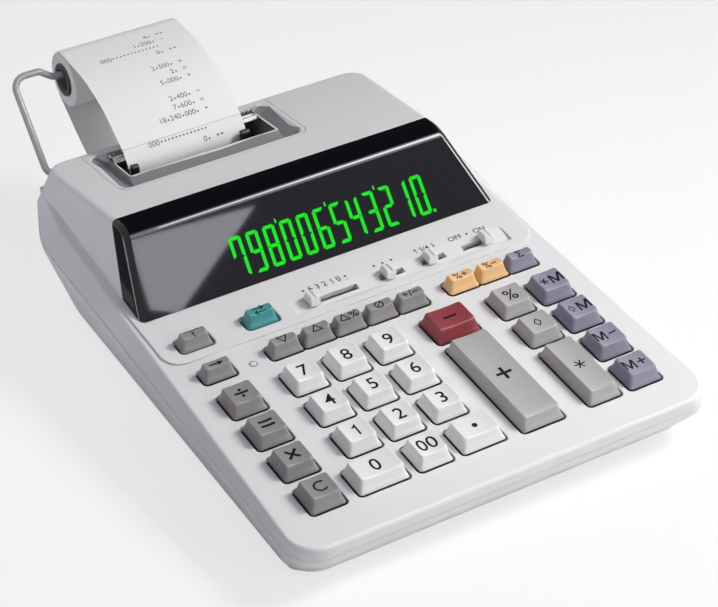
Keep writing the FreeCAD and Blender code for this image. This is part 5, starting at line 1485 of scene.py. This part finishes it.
@dataclass
class Studio:
    """The camera, lamps, cards, world and floor.

    The camera's focal length is in pixels of the photograph, its angles are in radians, and its distance
    and target are in millimetres of the deck frame.
    """

    focal: float = 2402.85
    azimuth: float = -0.569616
    elevation: float = 0.692004
    roll: float = 0.041557
    distance: float = 955.319
    target: Triple = (-1.0364, 36.2913, 0.0)
    crown_round: float = 12.5
    cheek_foot: float = -83.1
    cheek_taper: float = 0.0327
    cheek_draft: float = 0.331
    world_colour: Triple = (0.90, 0.85, 0.97)
    world_strength: float = 0.31
    floor_reach: float = 6.0
    floor_grey: float = 0.9
    floor_rough: float = 0.9
    floor_glow: float = 0.7

    LAMPS = (
        Lamp("key_lamp", (0.75, -0.30, 0.75), (0.05, -0.12, 0.03), 0.35, 1.2, (0.98, 1.0, 0.95), 60.0),
        Lamp("fill_lamp", (0.3, -0.85, 0.4), (0, -0.03, 0.05), 0.5, 1.7, (0.97, 1.0, 0.97)),
        Lamp("side_lamp", (-0.36, 0.16, 0.13), (-0.09, 0.06, 0.06), 0.1, 0.016, (0.92, 0.88, 1.0), 50.0))
    CARDS = (
        Card("reflected_card", 380, (0.93, 0.88, 1.0), 10.5,
             ((Mirror.SLOPE, -74, 35), (Mirror.SLOPE, -18, 32), (Mirror.SLOPE, -66, 0.5),
              (Mirror.SLOPE, -77, 5.6))),
        Card("front_flag", 420, (0.85, 0.82, 1.0), 0.85,
             ((Mirror.SLOPE, -130, -25), (Mirror.SLOPE, 130, -25), (Mirror.CROWN, 130, 2),
              (Mirror.CROWN, -130, 2))),
        Card("crown_glow", 380, (0.95, 0.93, 1.0), 7.0,
             ((Mirror.CROWN, -80, 2.6), (Mirror.CROWN, 93, 2.6), (Mirror.CROWN, 93, 10.5),
              (Mirror.CROWN, -80, 8.5))),
        Card("crown_strip", 370, (0.98, 0.97, 1.0), 34.0,
             ((Mirror.CROWN, -60, 4.6), (Mirror.CROWN, 91, 4.6), (Mirror.CROWN, 91, 7.8),
              (Mirror.CROWN, -60, 6.6))),
        Card("rear_flag", 420, (0.9, 0.9, 1.0), 0.03,
             ((Mirror.CROWN, -130, 11), (Mirror.CROWN, 130, 11), (Mirror.CROWN, 130, 60),
              (Mirror.CROWN, -130, 60))),
        Card("side_flag", 150, (0.8, 0.8, 1.0), 0.2,
             ((Mirror.CHEEK, 40, -5), (Mirror.CHEEK, 40, 40), (Mirror.CHEEK, 130, 40),
              (Mirror.CHEEK, 130, -5))))

    def eye(self) -> Vector:
        """The camera's place in the deck frame."""
        return Vector(self.target) + self.back() * self.distance

    def back(self) -> Vector:
        """From the target to the camera, in the deck frame."""
        return Vector((math.sin(self.azimuth) * math.cos(self.elevation),
                       -math.cos(self.azimuth) * math.cos(self.elevation), math.sin(self.elevation)))

    def camera(self) -> None:
        """Set up the photograph's camera."""
        back = self.back()
        right = (-back).cross(Vector((0, 0, 1))).normalized()
        up = right.cross(-back)
        x_axis = math.cos(self.roll) * right + math.sin(self.roll) * up
        y_axis = math.cos(self.roll) * up - math.sin(self.roll) * right
        turn = Matrix((x_axis, y_axis, back)).transposed().to_4x4()
        data = bpy.data.cameras.new("camera")
        data.lens = self.focal * SENSOR / IMAGE_WIDTH
        data.sensor_width = SENSOR
        data.sensor_fit = "HORIZONTAL"
        data.clip_start = 0.05
        data.clip_end = 30
        camera = linked("camera", data)
        camera.matrix_world = Matrix.Translation(DECK.matrix() @ self.eye()) @ (DECK.turn() @ turn)
        bpy.context.scene.camera = camera

    def spot(self, mirror: Mirror, first: float, second: float) -> Tuple[Vector, Vector]:
        """A spot on a mirror and its normal, in the deck frame.

        Args:
            mirror: the surface.
            first: the spot's first measure on it, in millimetres.
            second: its second measure, in millimetres, or degrees on the crown.

        Returns:
            The spot and the normal.
        """
        finders = {Mirror.SLOPE: self.on_slope, Mirror.CROWN: self.on_crown, Mirror.CHEEK: self.on_cheek}
        return finders[mirror](first, second)

    @staticmethod
    def on_slope(x: float, up: float) -> Tuple[Vector, Vector]:
        """A spot on the window's slope and its normal."""
        matrix = WINDOW.matrix()
        return matrix @ Vector((x, up, 0)), matrix.to_3x3() @ Vector((0, 0, 1))

    def on_crown(self, x: float, degrees: float) -> Tuple[Vector, Vector]:
        """A spot on the rounding above the slope, so many degrees round from it, and its normal."""
        bend = WINDOW.slope + ROOF_SLOPE
        bisector = math.radians(WINDOW.slope - bend / 2)
        reach = self.crown_round / math.cos(math.radians(bend / 2))
        centre = Vector((x, ROOF_START + math.sin(bisector) * reach,
                         ROOF_HEIGHT - math.cos(bisector) * reach))
        lean = math.radians(WINDOW.slope - degrees)
        normal = Vector((0, -math.sin(lean), math.cos(lean)))
        return centre + normal * self.crown_round, normal

    def on_cheek(self, y: float, z: float) -> Tuple[Vector, Vector]:
        """A spot on the left side of the housing and its normal."""
        side = self.cheek_foot + self.cheek_taper * (y - WINDOW.foot) + self.cheek_draft * z
        return Vector((side, y, z)), Vector((-1, -self.cheek_taper, self.cheek_draft)).normalized()

    def seen_in(self, corner: Tuple[Mirror, float, float], reach: float) -> Vector:
        """The world point that shows at a corner's spot, so far from the mirror."""
        spot, normal = self.spot(*corner)
        way = (spot - self.eye()).normalized()
        bounce = way - 2 * way.dot(normal) * normal
        return DECK.matrix() @ (spot + bounce * reach)

    def cards(self) -> None:
        """Hang the cards that the window, its crown and the left cheek reflect."""
        for card in self.CARDS:
            card.build([self.seen_in(corner, card.reach) for corner in card.corners])

    @staticmethod
    def rays(tree: bpy.types.NodeTree, kinds: Sequence[str]) -> bpy.types.NodeSocket:
        """One for rays of the named kinds, and zero for others."""
        path = tree.nodes.new("ShaderNodeLightPath")
        total = path.outputs[kinds[0]]
        for kind in kinds[1:]:
            add = ShaderKit.node(tree, "ShaderNodeMath", operation="ADD", use_clamp=True)
            tree.links.new(total, add.inputs[0])
            tree.links.new(path.outputs[kind], add.inputs[1])
            total = add.outputs[0]
        return total

    def world(self) -> None:
        """A pale world that shows white behind the object and in its mirrors."""
        world = bpy.data.worlds.new("studio")
        bpy.context.scene.world = world
        world.use_nodes = True
        tree = world.node_tree
        tree.nodes.clear()
        soft = ShaderKit.node(tree, "ShaderNodeBackground", in_Color=(*self.world_colour, 1),
                              in_Strength=self.world_strength)
        white = ShaderKit.node(tree, "ShaderNodeBackground", in_Color=(1, 1, 1, 1), in_Strength=1.0)
        mix = tree.nodes.new("ShaderNodeMixShader")
        out = tree.nodes.new("ShaderNodeOutputWorld")
        seen = self.rays(tree, ("Is Camera Ray", "Is Transmission Ray", "Is Glossy Ray"))
        tree.links.new(seen, mix.inputs["Fac"])
        tree.links.new(soft.outputs[0], mix.inputs[1])
        tree.links.new(white.outputs[0], mix.inputs[2])
        tree.links.new(mix.outputs[0], out.inputs["Surface"])

    def floor(self) -> None:
        """A plain pale floor that keeps the object's shadow."""
        mesh = bpy.data.meshes.new("floor")
        reach = self.floor_reach
        mesh.from_pydata([(-reach, -reach, 0), (reach, -reach, 0), (reach, reach, 0), (-reach, reach, 0)], [],
                         [(0, 1, 2, 3)])
        material, tree, shader = ShaderKit.blank("floor")
        ShaderKit.fill(shader, Base_Color=(self.floor_grey, self.floor_grey, self.floor_grey, 1),
                       Roughness=self.floor_rough, Specular_IOR_Level=0.0)
        glow = tree.nodes.new("ShaderNodeEmission")
        share = ShaderKit.node(tree, "ShaderNodeMath", operation="MULTIPLY")
        share.inputs[1].default_value = self.floor_glow
        mix = tree.nodes.new("ShaderNodeMixShader")
        out = tree.nodes["Material Output"]
        tree.links.new(self.rays(tree, ("Is Camera Ray", "Is Transmission Ray")), share.inputs[0])
        tree.links.new(share.outputs[0], mix.inputs["Fac"])
        tree.links.new(shader.outputs[0], mix.inputs[1])
        tree.links.new(glow.outputs[0], mix.inputs[2])
        tree.links.new(mix.outputs[0], out.inputs["Surface"])
        mesh.materials.append(material)
        floor = linked("floor", mesh)

    def build(self) -> None:
        """Set up the studio."""
        self.camera()
        for lamp in self.LAMPS:
            lamp.build()
        self.cards()
        self.world()
        self.floor()
        bpy.context.scene.view_settings.view_transform = "Standard"
        LOG.info("studio ready")


def main() -> None:
    """Load the frame, build the calculator's looks and report each part."""
    logging.basicConfig(level=logging.INFO, format="%(name)s: %(message)s")
    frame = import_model()
    palette = Palette()
    inscriber = Inscriber()
    row = BarRow()
    Studio().build()
    CaseDetails(palette, frame["nodes"]).build()
    Keyboard(palette, inscriber, frame["nodes"]).build()
    Switches(palette, inscriber, row).build()
    Display(palette).build()
    PaperPath(palette, inscriber).build()
    PrinterBay(palette).build()


if __name__ == "__main__":
    main()
